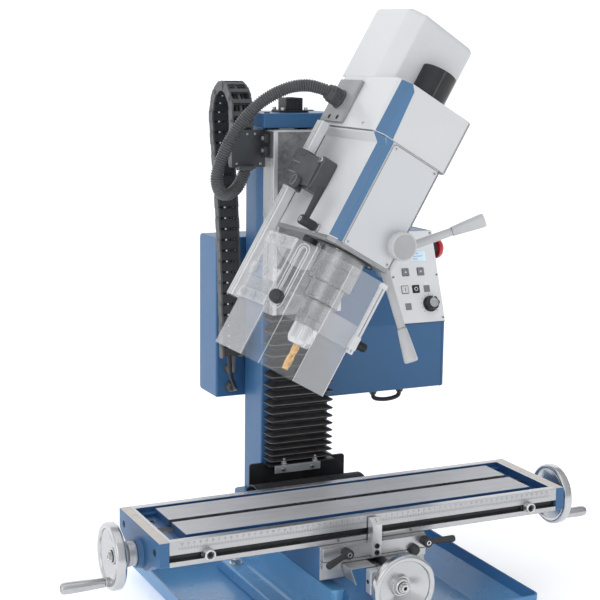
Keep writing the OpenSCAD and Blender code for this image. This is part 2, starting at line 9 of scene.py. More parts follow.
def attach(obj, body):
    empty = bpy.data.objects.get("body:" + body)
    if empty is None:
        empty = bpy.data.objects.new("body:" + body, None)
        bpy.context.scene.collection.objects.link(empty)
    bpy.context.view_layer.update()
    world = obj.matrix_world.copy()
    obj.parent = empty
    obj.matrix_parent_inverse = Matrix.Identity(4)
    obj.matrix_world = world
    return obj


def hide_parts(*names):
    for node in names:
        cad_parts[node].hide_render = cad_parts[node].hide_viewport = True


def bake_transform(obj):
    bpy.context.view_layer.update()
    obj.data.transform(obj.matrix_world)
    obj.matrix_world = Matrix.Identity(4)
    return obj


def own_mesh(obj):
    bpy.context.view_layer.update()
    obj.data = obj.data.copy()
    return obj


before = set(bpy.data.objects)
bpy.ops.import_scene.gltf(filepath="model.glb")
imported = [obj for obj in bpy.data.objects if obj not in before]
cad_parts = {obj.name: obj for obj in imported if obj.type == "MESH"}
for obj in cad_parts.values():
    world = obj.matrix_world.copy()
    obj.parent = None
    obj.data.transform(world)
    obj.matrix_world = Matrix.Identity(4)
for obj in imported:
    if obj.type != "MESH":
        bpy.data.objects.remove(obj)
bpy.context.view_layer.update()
scene = bpy.context.scene
rng = np.random.RandomState(7)


# ------------------------------------------------------------------ frames
def T(x, y, z):
    return Matrix.Translation((x, y, z))


def R(deg, axis):
    return Matrix.Rotation(math.radians(deg), 4, axis)


I4 = Matrix.Identity(4)
HEAD = T(0, -84, 629) @ R(30, "Y")
PANEL = T(262, 160, 526.5) @ R(69.8, "X")
YZ = Matrix(((0, 0, 1, 0), (1, 0, 0, 0), (0, 1, 0, 0), (0, 0, 0, 1)))    # drawn in y,z and pulled along +x
XZ = Matrix(((1, 0, 0, 0), (0, 0, -1, 0), (0, 1, 0, 0), (0, 0, 0, 1)))   # drawn in x,z and pulled along -y


def axis_to(p, d, spin=0.0):
    """local +Z along d, at point p"""
    q = Vector(d).to_track_quat("Z", "Y")
    return Matrix.Translation(p) @ q.to_matrix().to_4x4() @ R(spin, "Z")


# ------------------------------------------------------------------ shapes, in millimetres
def area2(p):
    return sum(p[i][0] * p[(i + 1) % len(p)][1] - p[(i + 1) % len(p)][0] * p[i][1] for i in range(len(p)))


def turned(p, ccw):
    p = [tuple(map(float, q)) for q in p]
    return p if (area2(p) > 0) == ccw else p[::-1]


def inset(c, d):
    """contour moved to its left by d"""
    n = len(c)
    out = []
    for i in range(n):
        a, b, e = np.array(c[i - 1]), np.array(c[i]), np.array(c[(i + 1) % n])
        u, v = b - a, e - b
        u = u / (np.linalg.norm(u) + 1e-12)
        v = v / (np.linalg.norm(v) + 1e-12)
        nu, nv = np.array([-u[1], u[0]]), np.array([-v[1], v[0]])
        k = 1 + nu @ nv
        m = (nu + nv) / max(k, 0.25)
        out.append(tuple(b + m * d))
    return out


def inset_room(c):
    """largest inset at which every edge of the contour still keeps its direction"""
    q = inset(c, 1.0)
    room = 1e9
    for i in range(len(c)):
        j = (i + 1) % len(c)
        e = np.array(c[j]) - np.array(c[i])
        s = np.linalg.norm(e)
        if s > 1e-6:
            g = (np.array(q[j]) - np.array(q[i])) @ (e / s) - s
            if g < -1e-9:
                room = min(room, 0.9 * s / -g)
    return room


def plate(outer, z0, z1, r=0.6, seg=2, holes=()):
    """outline pulled from z0 to z1, its end edges rounded by r"""
    cs = [turned(outer, True)] + [turned(h, False) for h in holes]
    r = min([r, (z1 - z0) / 2.01] + [inset_room(c) for c in cs])
    lay = [(z0, 0.0)] if r <= 0 else [(z0 + r * (1 - math.cos(k / seg * math.pi / 2)), r * (1 - math.sin(k / seg * math.pi / 2))) for k in range(seg + 1)]
    lay = lay + [(z1 - (z - z0), d) for z, d in reversed(lay)]
    V, F = [], []
    start = []
    for c in cs:
        start.append(len(V))
        n = len(c)
        for z, d in lay:
            V += [(x, y, z) for x, y in (inset(c, d) if d > 1e-9 else c)]
        s = start[-1]
        for k in range(len(lay) - 1):
            for j in range(n):
                a, b = s + k * n + j, s + k * n + (j + 1) % n
                F.append((a, b, b + n, a + n))
    if not holes:
        n = len(cs[0])
        F.append(tuple(range(n - 1, -1, -1)))
        s = (len(lay) - 1) * n
        F.append(tuple(range(s, s + n)))
    else:
        for end in (0, len(lay) - 1):
            d = lay[end][1]
            flat, idx = [], []
            for c, s in zip(cs, start):
                cc = inset(c, d) if d > 1e-9 else c
                flat.append([Vector((x, y, 0)) for x, y in cc])
                idx += [s + end * len(c) + j for j in range(len(c))]
            pts = [p for ring in flat for p in ring]
            for t in tessellate_polygon(flat):
                a, b, c3 = (pts[i] for i in t)
                up = (b - a).cross(c3 - a).z > 0
                t = t if up == (end > 0) else t[::-1]
                F.append(tuple(idx[i] for i in t))
    return np.array(V, float), F


def fillet(pts, r, n=4):
    """polygon with rounded corners; r one radius or one per corner"""
    m = len(pts)
    rs = r if hasattr(r, "__len__") else [r] * m
    out = []
    for i in range(m):
        a, b, c = np.array(pts[i - 1], float), np.array(pts[i], float), np.array(pts[(i + 1) % m], float)
        rad = rs[i]
        u, v = a - b, c - b
        lu, lv = np.linalg.norm(u), np.linalg.norm(v)
        u, v = u / lu, v / lv
        ang = math.acos(max(-1, min(1, u @ v)))
        if rad <= 1e-6 or abs(math.pi - ang) < 0.03:
            out.append(tuple(b))
            continue
        t = min(rad / math.tan(ang / 2), lu * 0.49, lv * 0.49)
        rad = t * math.tan(ang / 2)
        w = (u + v) / np.linalg.norm(u + v)
        o = b + w * (rad / math.sin(ang / 2))
        p0, p1 = b + u * t - o, b + v * t - o
        a0 = math.atan2(p0[1], p0[0])
        da = (math.atan2(p1[1], p1[0]) - a0 + math.pi) % (2 * math.pi) - math.pi
        for k in range(n + 1):
            q = a0 + da * k / n
            out.append((o[0] + rad * math.cos(q), o[1] + rad * math.sin(q)))
    return out


def rrect(x0, x1, y0, y1, r, n=4):
    return fillet([(x0, y0), (x1, y0), (x1, y1), (x0, y1)], r, n)


def circ(r, n=40, cx=0.0, cy=0.0, a0=0.0):
    return [(cx + r * math.cos(a0 + 2 * math.pi * k / n), cy + r * math.sin(a0 + 2 * math.pi * k / n)) for k in range(n)]


def ngon(r, n, cx=0.0, cy=0.0, a0=0.0):
    return circ(r, n, cx, cy, math.radians(a0))


def slotpts(x0, x1, y, r, n=8):
    return [(x1 + r * math.cos(t), y + r * math.sin(t)) for t in np.linspace(-math.pi / 2, math.pi / 2, n)] + [(x0 + r * math.cos(t), y + r * math.sin(t)) for t in np.linspace(math.pi / 2, 3 * math.pi / 2, n)]


def rbox(x0, x1, y0, y1, z0, z1, r=1.0, seg=2):
    r = min(r, (x1 - x0) / 2.02, (y1 - y0) / 2.02, (z1 - z0) / 2.02)
    return plate(rrect(x0, x1, y0, y1, r, seg), z0, z1, r, seg)


def lathe(prof, n=48):
    V, F, rows = [], [], []
    for r, z in prof:
        if r < 1e-6:
            rows.append([len(V)])
            V.append((0, 0, z))
        else:
            rows.append(list(range(len(V), len(V) + n)))
            V += [(r * math.cos(2 * math.pi * k / n), r * math.sin(2 * math.pi * k / n), z) for k in range(n)]
    for a, b in zip(rows, rows[1:]):
        for k in range(n):
            k2 = (k + 1) % n
            if len(a) == 1 and len(b) == 1:
                continue
            if len(a) == 1:
                F.append((a[0], b[k2], b[k]))
            elif len(b) == 1:
                F.append((a[k], a[k2], b[0]))
            else:
                F.append((a[k], a[k2], b[k2], b[k]))
    return np.array(V, float), F


def cyl(r, z0, z1, c=0.5, n=40):
    c = min(c, r * 0.45, (z1 - z0) * 0.45)
    return lathe([(0, z0), (r - c, z0), (r - c * 0.3, z0 + c * 0.3), (r, z0 + c), (r, z1 - c), (r - c * 0.3, z1 - c * 0.3), (r - c, z1), (0, z1)], n)


def ringz(r0, r1, z0, z1, c=0.4, n=40):
    """tube wall of inner radius r0 and outer radius r1"""
    c = min(c, (r1 - r0) * 0.4, (z1 - z0) * 0.4)
    p = [(r0, z0 + c), (r0 + c, z0), (r1 - c, z0), (r1, z0 + c), (r1, z1 - c), (r1 - c, z1), (r0 + c, z1), (r0, z1 - c)]
    return lathe(p + [p[0]], n)


def frames_along(pts):
    pts = [np.array(p, float) for p in pts]
    m = len(pts)
    ts = []
    for i in range(m):
        t = pts[min(i + 1, m - 1)] - pts[max(i - 1, 0)]
        ts.append(t / (np.linalg.norm(t) + 1e-12))
    u = np.cross(ts[0], [0, 1, 0] if abs(ts[0][1]) < 0.9 else [1, 0, 0])
    u /= np.linalg.norm(u)
    us = []
    for t in ts:
        u = u - (u @ t) * t
        u /= np.linalg.norm(u)
        us.append(u)
    return pts, ts, us


def tube(pts, r, n=12):
    pts, ts, us = frames_along(pts)
    rs = r if hasattr(r, "__len__") else [r] * len(pts)
    V, F = [], []
    for p, t, u, q in zip(pts, ts, us, rs):
        v = np.cross(t, u)
        V += [tuple(p + q * (math.cos(2 * math.pi * k / n) * u + math.sin(2 * math.pi * k / n) * v)) for k in range(n)]
    for i in range(len(pts) - 1):
        for k in range(n):
            a, b = i * n + k, i * n + (k + 1) % n
            F.append((a, b, b + n, a + n))
    F.append(tuple(range(n - 1, -1, -1)))
    F.append(tuple(range((len(pts) - 1) * n, len(pts) * n)))
    return np.array(V, float), F


def spline(p, m):
    p = [np.array(q, float) for q in p]
    out = []
    for i in range(len(p) - 1):
        a, b, c, d = p[max(i - 1, 0)], p[i], p[i + 1], p[min(i + 2, len(p) - 1)]
        for k in range(m):
            t = k / m
            out.append(0.5 * (2 * b + (c - a) * t + (2 * a - 5 * b + 4 * c - d) * t * t + (3 * b - a - 3 * c + d) * t ** 3))
    return out + [p[-1]]


def resample(pts, step):
    pts = np.array(pts, float)
    s = np.concatenate([[0], np.cumsum(np.linalg.norm(np.diff(pts, axis=0), axis=1))])
    m = max(2, int(round(s[-1] / step)))
    q = np.linspace(0, s[-1], m + 1)
    return np.stack([np.interp(q, s, pts[:, i]) for i in range(3)], 1), q


def loft(rings, cap0=True, cap1=True, closed=True):
    n = len(rings[0])
    V = [tuple(p) for ring in rings for p in ring]
    F = []
    for i in range(len(rings) - 1):
        for k in range(n if closed else n - 1):
            a, b = i * n + k, i * n + (k + 1) % n
            F.append((a, b, b + n, a + n))
    if cap0:
        F.append(tuple(range(n - 1, -1, -1)))
    if cap1:
        F.append(tuple(range((len(rings) - 1) * n, len(rings) * n)))
    return np.array(V, float), F


def strip(path, t):
    """polyline in plan thickened to t"""
    p = [np.array(q, float) for q in path]
    ns = []
    for i in range(len(p)):
        seg = []
        if i > 0:
            d = p[i] - p[i - 1]
            seg.append(np.array([-d[1], d[0]]) / np.linalg.norm(d))
        if i < len(p) - 1:
            d = p[i + 1] - p[i]
            seg.append(np.array([-d[1], d[0]]) / np.linalg.norm(d))
        m = seg[0] if len(seg) == 1 else (seg[0] + seg[1]) / (1 + seg[0] @ seg[1])
        ns.append(m)
    return [tuple(q + m * t / 2) for q, m in zip(p, ns)] + [tuple(q - m * t / 2) for q, m in reversed(list(zip(p, ns)))]


def quad(a, b, c, d):
    return np.array([a, b, c, d], float), [(0, 1, 2, 3)]


# ------------------------------------------------------------------ collecting shapes into pieces
class Piece:
    def __init__(self, name, body=None, nodes=(), xf=I4, slot=None):
        self.name, self.body, self.nodes, self.xf, self.slot = name, body, nodes, xf, slot
        self.V, self.F, self.fm, self.mats, self.n = [], [], [], [], 0

    def _mi(self, m):
        if m not in self.mats:
            self.mats.append(m)
        return self.mats.index(m)

    def add(self, geo, mat, xf=None):
        V, F = geo
        V = np.asarray(V, float)
        if xf is not None:
            A = np.array(xf)
            V = V @ A[:3, :3].T + A[:3, 3]
        for f in F:
            if isinstance(mat, bpy.types.Material):
                m = mat
            else:
                c = V[list(f)]
                nrm = np.zeros(3)
                for i in range(len(f)):
                    nrm += np.cross(c[i], c[(i + 1) % len(f)])
                nl = np.linalg.norm(nrm)
                m = mat(c.mean(0), nrm / nl if nl > 0 else nrm)
            self.fm.append(self._mi(m))
            self.F.append(tuple(i + self.n for i in f))
        A = np.array(self.xf)
        self.V.append((V @ A[:3, :3].T + A[:3, 3]) * 0.001)
        self.n += len(V)
        return self

    def many(self, items, xf=None):
        for geo, mat, m in items:
            self.add(geo, mat, (xf @ m) if (xf is not None and m is not None) else (xf if m is None else m))
        return self

    def done(self, angle=38, blend=None, squash=None, smooth=True):
        me = bpy.data.meshes.new(self.name)
        me.from_pydata(np.concatenate(self.V).tolist(), [], self.F)
        for m in self.mats:
            me.materials.append(m)
        me.polygons.foreach_set("material_index", self.fm)
        me.polygons.foreach_set("use_smooth", [smooth] * len(self.F))
        me.update()
        me.set_sharp_from_angle(angle=math.radians(angle))
        o = bpy.data.objects.new(self.name, me)
        scene.collection.objects.link(o)
        w = o.modifiers.new("normals", "WEIGHTED_NORMAL")
        w.keep_sharp = True
        w.weight = 60
        if blend:
            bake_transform(o)
        else:
            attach(o, self.body)
            if squash:
                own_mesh(o)
        if self.nodes:
            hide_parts(*self.nodes)
        return o


# ------------------------------------------------------------------ finishes
def lin(r, g, b):
    f = lambda c: ((c / 255 + 0.055) / 1.055) ** 2.4 if c > 10.3 else c / 255 / 12.92
    return (f(r), f(g), f(b))


def finish(name, col, rough=0.45, metal=0.0, var=0.07, vscale=22.0, rvar=0.08, bump=0.15, bscale=600.0, streak=(1, 1, 1), coat=0.0,
           spec=0.5, trans=0.0, ior=1.46, emit=0.0, col2=None, patch=0.0, pscale=60.0, alpha=1.0, aniso=0.0):
    m = bpy.data.materials.new(name)
    m.use_nodes = True
    nt = m.node_tree
    bs = nt.nodes["Principled BSDF"]
    L = nt.links.new
    tc = nt.nodes.new("ShaderNodeTexCoord")
    mp = nt.nodes.new("ShaderNodeMapping")
    mp.inputs["Scale"].default_value = streak
    L(tc.outputs["Object"], mp.inputs["Vector"])
    n1 = nt.nodes.new("ShaderNodeTexNoise")
    n1.inputs["Scale"].default_value = vscale
    n1.inputs["Detail"].default_value = 5.0
    n1.inputs["Roughness"].default_value = 0.6
    L(mp.outputs["Vector"], n1.inputs["Vector"])
    a = tuple(max(0, c * (1 - var)) for c in col) + (1,)
    b = tuple(min(1, c * (1 + var)) for c in (col2 or col)) + (1,)
    rp = nt.nodes.new("ShaderNodeValToRGB")
    rp.color_ramp.elements[0].position, rp.color_ramp.elements[1].position = 0.32, 0.68
    rp.color_ramp.elements[0].color, rp.color_ramp.elements[1].color = a, b
    L(n1.outputs["Fac"], rp.inputs["Fac"])
    colour = rp.outputs["Color"]
    n2 = nt.nodes.new("ShaderNodeTexNoise")
    n2.inputs["Scale"].default_value = bscale
    n2.inputs["Detail"].default_value = 3.0
    L(mp.outputs["Vector"], n2.inputs["Vector"])
    if patch > 0:
        vo = nt.nodes.new("ShaderNodeTexNoise")
        vo.inputs["Scale"].default_value = pscale
        vo.inputs["Detail"].default_value = 8.0
        vo.inputs["Roughness"].default_value = 0.75
        L(tc.outputs["Object"], vo.inputs["Vector"])
        r2 = nt.nodes.new("ShaderNodeValToRGB")
        r2.color_ramp.elements[0].position, r2.color_ramp.elements[1].position = 0.45, 0.62
        mx = nt.nodes.new("ShaderNodeMix")
        mx.data_type = "RGBA"
        mx.blend_type = "MULTIPLY"
        L(vo.outputs["Fac"], r2.inputs["Fac"])
        dk = nt.nodes.new("ShaderNodeMapRange")
        dk.inputs["To Min"].default_value = 0.0
        dk.inputs["To Max"].default_value = patch
        L(r2.outputs["Color"], dk.inputs["Value"])
        L(dk.outputs["Result"], mx.inputs["Factor"])
        L(colour, mx.inputs["A"])
        mx.inputs["B"].default_value = (0.35, 0.35, 0.36, 1)
        colour = mx.outputs["Result"]
    L(colour, bs.inputs["Base Color"])
    mr = nt.nodes.new("ShaderNodeMapRange")
    mr.inputs["From Min"].default_value, mr.inputs["From Max"].default_value = 0.3, 0.7
    mr.inputs["To Min"].default_value, mr.inputs["To Max"].default_value = max(0.02, rough - rvar), min(1, rough + rvar)
    L(n1.outputs["Fac"], mr.inputs["Value"])
    L(mr.outputs["Result"], bs.inputs["Roughness"])
    if bump > 0:
        bp = nt.nodes.new("ShaderNodeBump")
        bp.inputs["Strength"].default_value = bump
        bp.inputs["Distance"].default_value = 0.0004
        L(n2.outputs["Fac"], bp.inputs["Height"])
        L(bp.outputs["Normal"], bs.inputs["Normal"])
    bs.inputs["Metallic"].default_value = metal
    bs.inputs["Coat Weight"].default_value = coat
    bs.inputs["Coat Roughness"].default_value = 0.12
    bs.inputs["Specular IOR Level"].default_value = spec
    bs.inputs["Transmission Weight"].default_value = trans
    bs.inputs["IOR"].default_value = ior
    bs.inputs["Alpha"].default_value = alpha
    bs.inputs["Anisotropic"].default_value = aniso
    if emit > 0:
        L(colour, bs.inputs["Emission Color"])
        bs.inputs["Emission Strength"].default_value = emit
    m.diffuse_color = tuple(col) + (1,)
    return m


BLUE = finish("blue_enamel", (0.040, 0.138, 0.300), 0.42, 0, 0.05, 9, 0.05, 0.10, 420, coat=0.08)
# lighter copy of the blue enamel for the base and the tray floors: painted reflection
BLUE_B = finish("blue_gloss_enamel_painted_reflection", (0.125, 0.335, 0.600), 0.26, 0, 0.06, 7, 0.06, 0.06, 300, coat=0.22)
# copy of the tray blue, darker than the floor copy, for the side walls: painted shade
BLUE_W = finish("blue_wall_painted_shade", (0.075, 0.240, 0.480), 0.34, 0, 0.06, 9, 0.05, 0.08, 400, coat=0.12)
# darker copy of the stripe blue for the chamfer facets: painted shade, so they read like the front strip
BLUE_STRIPE_SHADE = finish("blue_stripe_painted_shade", (0.066, 0.162, 0.305), 0.34, 0, 0.04, 12, 0.04, 0.08, 420, coat=0.2)
# darker copy of the blue enamel for gutters, grooves and seams: painted shade in recesses
BLUE_RECESS_SHADE = finish("blue_enamel_recess_shade", (0.020, 0.080, 0.205), 0.40, 0, 0.16, 26, 0.08, 0.45, 230, coat=0.2)
BLUE_ST = finish("blue_stripe_enamel", (0.080, 0.195, 0.365), 0.32, 0, 0.04, 12, 0.04, 0.08, 420, coat=0.25)
WHITE = finish("white_enamel", (0.672, 0.684, 0.698), 0.38, 0, 0.025, 7, 0.05, 0.10, 420, coat=0.25)
WHITE_P = finish("panel_plate_white", (0.880, 0.890, 0.905), 0.42, 0, 0.02, 14, 0.05, 0.05, 700)
# darker grey copy of the white enamel: painted shade on right-facing chamfers and edge lands
SHADE_E = finish("white_enamel_painted_shade", (0.215, 0.218, 0.226), 0.42, 0, 0.05, 12, 0.05, 0.10, 420)
FACE_G = finish("grey_disc_face", (0.430, 0.434, 0.452), 0.36, 0.15, 0.05, 40, 0.06, 0.10, 500)
GRIP_ST = finish("polished_grip_steel", (0.500, 0.506, 0.518), 0.22, 0.90, 0.06, 40, 0.06, 0.08, 500)
PALE_P = finish("front_plate_pale", (0.640, 0.658, 0.684), 0.30, 0.10, 0.035, 5, 0.05, 0.05, 900, streak=(1, 1, 0.15))
FLANGE = finish("grey_hammer_paint", (0.330, 0.335, 0.345), 0.42, 0.1, 0.10, 40, 0.08, 0.35, 260)
PLASTIC = finish("black_plastic", (0.030, 0.031, 0.034), 0.42, 0, 0.20, 60, 0.10, 0.40, 500)
PLASTIC_G = finish("dark_grey_plastic", (0.076, 0.078, 0.084), 0.42, 0, 0.15, 60, 0.08, 0.40, 500)
RUBBER = finish("black_rubber", (0.020, 0.020, 0.022), 0.55, 0, 0.25, 50, 0.10, 0.50, 420)
FOLD = finish("bellows_cloth", (0.036, 0.035, 0.037), 0.46, 0, 0.30, 70, 0.12, 0.55, 520)
# lighter grey for the flat crests of the bellows folds: painted highlight
FOLD_CREST_HIGHLIGHT = finish("bellows_crest_painted_highlight", (0.150, 0.144, 0.146), 0.55, 0, 0.30, 90, 0.10, 0.40, 520)
BLACK_ST = finish("black_steel", (0.036, 0.037, 0.040), 0.38, 0.55, 0.25, 35, 0.10, 0.25, 300)
DARK_ST = finish("dark_plate_steel", (0.075, 0.082, 0.092), 0.42, 0.35, 0.14, 22, 0.08, 0.25, 240)
TABLE = finish("ground_table_iron", (0.520, 0.524, 0.540), 0.46, 0.10, 0.08, 30, 0.07, 0.16, 420, streak=(0.14, 3.0, 1.0), patch=0.14, pscale=9)
RIM = finish("ground_bright_edge", (0.520, 0.520, 0.530), 0.30, 0.80, 0.09, 40, 0.07, 0.16, 500, streak=(0.2, 2.0, 1.0))
BEIGE = finish("ground_bracket_edge", (0.500, 0.460, 0.420), 0.34, 0.75, 0.14, 50, 0.09, 0.25, 380)
IRON = finish("machined_iron", (0.470, 0.475, 0.486), 0.36, 0.65, 0.13, 45, 0.09, 0.22, 420, streak=(0.4, 1.6, 1.6))
SCRAPED = finish("scraped_iron", (0.330, 0.330, 0.338), 0.42, 0.70, 0.20, 70, 0.12, 0.40, 300, patch=0.55, pscale=48)
BRIGHT = finish("bright_milled_iron", (0.730, 0.735, 0.745), 0.30, 0.55, 0.06, 40, 0.06, 0.15, 420, streak=(1.5, 1.5, 0.3))
WHEEL = finish("polished_wheel", (0.570, 0.578, 0.590), 0.22, 0.92, 0.05, 30, 0.06, 0.08, 500)
STEEL = finish("turned_steel", (0.560, 0.565, 0.575), 0.26, 0.92, 0.08, 60, 0.07, 0.10, 600)
STEEL_D = finish("dark_turned_steel", (0.300, 0.300, 0.305), 0.30, 0.88, 0.12, 50, 0.08, 0.14, 500)
ZINC = finish("zinc_screw", (0.640, 0.640, 0.635), 0.28, 0.90, 0.09, 90, 0.07, 0.10, 800)
ALU = finish("anodised_extrusion", (0.700, 0.710, 0.722), 0.32, 0.80, 0.05, 40, 0.06, 0.10, 500, streak=(1.6, 1.6, 0.15))
CAST_AL = finish("satin_cast_alloy", (0.560, 0.566, 0.580), 0.36, 0.55, 0.05, 45, 0.07, 0.25, 420)
GRIP = finish("pale_grey_grip", (0.560, 0.568, 0.580), 0.34, 0.0, 0.04, 40, 0.06, 0.12, 600, coat=0.2)
GOLD = finish("gold_tool_coating", (0.780, 0.470, 0.150), 0.27, 0.85, 0.12, 160, 0.08, 0.10, 700)
BRONZE = finish("nut_bronze", (0.500, 0.320, 0.120), 0.35, 0.9, 0.12, 60, 0.08, 0.2, 400)
RED = finish("red_button_plastic", (0.560, 0.022, 0.030), 0.26, 0, 0.08, 60, 0.05, 0.06, 500, coat=0.5)
KEY_G = finish("grey_key", (0.250, 0.255, 0.285), 0.40, 0, 0.08, 200, 0.05, 0.15, 900)
KEY_W = finish("white_key", (0.780, 0.785, 0.790), 0.38, 0, 0.03, 200, 0.04, 0.10, 900)
INK = finish("dark_ink", (0.022, 0.023, 0.026), 0.50, 0, 0.20, 300, 0.06, 0.05, 900)
SCREEN = finish("display_glass", (0.560, 0.720, 0.860), 0.16, 0, 0.10, 26, 0.04, 0.02, 900, coat=0.6, emit=0.35, col2=(0.70, 0.83, 0.93))
HOSE = finish("grey_conduit", (0.090, 0.092, 0.098), 0.36, 0, 0.10, 60, 0.08, 0.20, 500)
LEAD = finish("black_lead", (0.028, 0.028, 0.030), 0.44, 0, 0.15, 90, 0.08, 0.20, 700)
HOLE = finish("deep_shadow", (0.006, 0.006, 0.007), 0.80, 0, 0.3, 60, 0.05, 0.10, 500)
CLEAR = finish("clear_sheet", (0.80, 0.82, 0.84), 0.10, 0, 0.02, 12, 0.03, 0.02, 200, spec=0.6, alpha=0.07)
# whiter, less clear copies of the clear sheet for some flats and small clear parts: painted reflection
CLEAR_F = finish("clear_sheet_painted_reflection", (0.62, 0.63, 0.65), 0.22, 0, 0.03, 14, 0.06, 0.03, 200, alpha=0.38)
CLEAR_M = finish("clear_sheet_soft_painted_reflection", (0.78, 0.79, 0.81), 0.16, 0, 0.03, 14, 0.05, 0.03, 200, alpha=0.18)
CLEAR_B = finish("clear_bar", (0.84, 0.85, 0.87), 0.14, 0, 0.03, 30, 0.05, 0.05, 300, spec=0.7, alpha=0.24)
# lighter, more opaque copy of the clear sheet: frosted cut edges with a painted highlight
CLEAR_E = finish("clear_edge_frost_and_highlight", (0.84, 0.85, 0.87), 0.22, 0, 0.04, 60, 0.06, 0.05, 300, spec=0.7, alpha=0.70)
GUARD_AL = finish("matt_anodised_bar", (0.660, 0.665, 0.672), 0.46, 0.35, 0.05, 40, 0.07, 0.12, 500, streak=(2.2, 2.2, 0.12))
QUILL = finish("ground_quill_steel", (0.300, 0.303, 0.308), 0.26, 0.85, 0.06, 60, 0.05, 0.04, 600)
STRIP = finish("ground_edge_strip", (0.340, 0.345, 0.352), 0.40, 0.45, 0.09, 45, 0.08, 0.18, 420)


# ------------------------------------------------------------------ fasteners: local +Z points out of the face
def cap_screw(r=4.0, h=4.0, mat=None, n=24):
    mat = mat or PLASTIC
    return [(plate(circ(r, n), 0, h, 0.4, 2, [ngon(r * 0.55, 6)]), mat, None), (plate(circ(r * 0.6, 12), 0, h * 0.35, 0), HOLE, None)]


def pan_screw(r=3.0, h=1.6, mat=None, n=20):
    mat = mat or ZINC
    return [(lathe([(r, 0), (r, h * 0.35), (r * 0.86, h * 0.75), (r * 0.5, h * 0.97), (0, h)], n), mat, None),
            (rbox(-r * 0.62, r * 0.62, -r * 0.12, r * 0.12, h * 0.6, h + 0.05, 0.05, 1), HOLE, None),
            (rbox(-r * 0.12, r * 0.12, -r * 0.62, r * 0.62, h * 0.6, h + 0.06, 0.05, 1), HOLE, None)]


def hex_bolt(r=6.0, h=5.0, mat=None, washer=True):
    mat = mat or ZINC
    out = [(plate(ngon(r, 6), 1.2 if washer else 0, h, 0.5, 2), mat, None)]
    if washer:
        out.append((cyl(r * 1.35, 0, 1.3, 0.3, 28), mat, None))
    return out


# plain figures for scales, each drawn with short straight strokes in a 0.6 by 1 cell
STROKES = {
    "0": [((0, 0), (0.6, 0)), ((0.6, 0), (0.6, 1)), ((0.6, 1), (0, 1)), ((0, 1), (0, 0))],
    "1": [((0.3, 0), (0.3, 1)), ((0.3, 1), (0.1, 0.8))],
    "2": [((0, 1), (0.6, 1)), ((0.6, 1), (0.6, 0.55)), ((0.6, 0.55), (0, 0)), ((0, 0), (0.6, 0))],
    "3": [((0, 1), (0.6, 1)), ((0.6, 1), (0.6, 0)), ((0.6, 0), (0, 0)), ((0.15, 0.52), (0.6, 0.52))],
    "4": [((0.45, 0), (0.45, 1)), ((0.45, 1), (0, 0.35)), ((0, 0.35), (0.6, 0.35))],
    "5": [((0.6, 1), (0, 1)), ((0, 1), (0, 0.55)), ((0, 0.55), (0.6, 0.55)), ((0.6, 0.55), (0.6, 0)), ((0.6, 0), (0, 0))],
    "6": [((0.6, 1), (0, 0.6)), ((0, 0.6), (0, 0)), ((0, 0), (0.6, 0)), ((0.6, 0), (0.6, 0.5)), ((0.6, 0.5), (0, 0.5))],
    "7": [((0, 1), (0.6, 1)), ((0.6, 1), (0.2, 0))],
    "8": [((0, 0), (0.6, 0)), ((0.6, 0), (0.6, 1)), ((0.6, 1), (0, 1)), ((0, 1), (0, 0)), ((0, 0.52), (0.6, 0.52))],
    "9": [((0, 0), (0.6, 0.4)), ((0.6, 0.4), (0.6, 1)), ((0.6, 1), (0, 1)), ((0, 1), (0, 0.5)), ((0, 0.5), (0.6, 0.5))],
}


def figures(text, x, y, size, w, z=0.0):
    """flat strokes in the local XY plane, centred on x"""
    V, F = [], []
    x0 = x - (len(text) * 0.85 - 0.25) * size / 2
    for ch in text:
        for (a, b), (c, d) in STROKES[ch]:
            p, q = np.array([x0 + a * size, y + b * size]), np.array([x0 + c * size, y + d * size])
            u = (q - p) / np.linalg.norm(q - p)
            m = np.array([-u[1], u[0]]) * w / 2
            u = u * w / 2
            s = len(V)
            V += [(*(p - u - m), z), (*(q + u - m), z), (*(q + u + m), z), (*(p - u + m), z)]
            F.append((s, s + 1, s + 2, s + 3))
        x0 += 0.85 * size
    return np.array(V, float), F


def ticks(items, z=0.0):
    """flat marks (x0, x1, y0, y1) in the local XY plane"""
    V, F = [], []
    for x0, x1, y0, y1 in items:
        s = len(V)
        V += [(x0, y0, z), (x1, y0, z), (x1, y1, z), (x0, y1, z)]
        F.append((s, s + 1, s + 2, s + 3))
    return np.array(V, float), F


def collar_marks(r, z0, n=50, long=5.0, short=3.0, w=0.35, figs=True):
    """scale marks round a collar of radius r, from height z0 up"""
    V, F = [], []
    e = 0.06
    for k in range(n):
        a = 2 * math.pi * k / n
        h = long if k % 5 == 0 else short
        ca, sa = math.cos(a), math.sin(a)
        tx, ty = -sa * w / 2, ca * w / 2
        s = len(V)
        for sg, z in ((-1, z0), (1, z0), (1, z0 + h), (-1, z0 + h)):
            V.append(((r + e) * ca + sg * tx, (r + e) * sa + sg * ty, z))
        F.append((s, s + 1, s + 2, s + 3))
    if figs:
        for k in range(0, n, 5):
            a = 2 * math.pi * k / n
            G, H = figures(str(k // 5 * 5 % 100) if n != 50 else str(k // 5), 0, 0, 3.0, 0.35)
            s = len(V)
            for x, y, _ in G:
                b = a + x / r
                V.append(((r + e) * math.cos(b), (r + e) * math.sin(b), z0 + long + 1.2 + y))
            F += [tuple(i + s for i in f) for f in H]
    return np.array(V, float), F


# ================================================================== tray, base, column
def rring(hx, hy, r, z, n=6):
    return [(x, y, z) for x, y in rrect(-hx, hx, -hy, hy, r, n)]


p = Piece("tray", "frame", ("chip_tray",), slot="blue_paint")
def tray_mat(c, n):
    if c[2] > 54.3 and n[2] > 0.3:
        return BLUE_ST
    # faces turned up take the lighter gloss blue (painted reflection), side walls the darker wall blue (painted shade)
    return BLUE_B if n[2] > 0.4 else BLUE_W


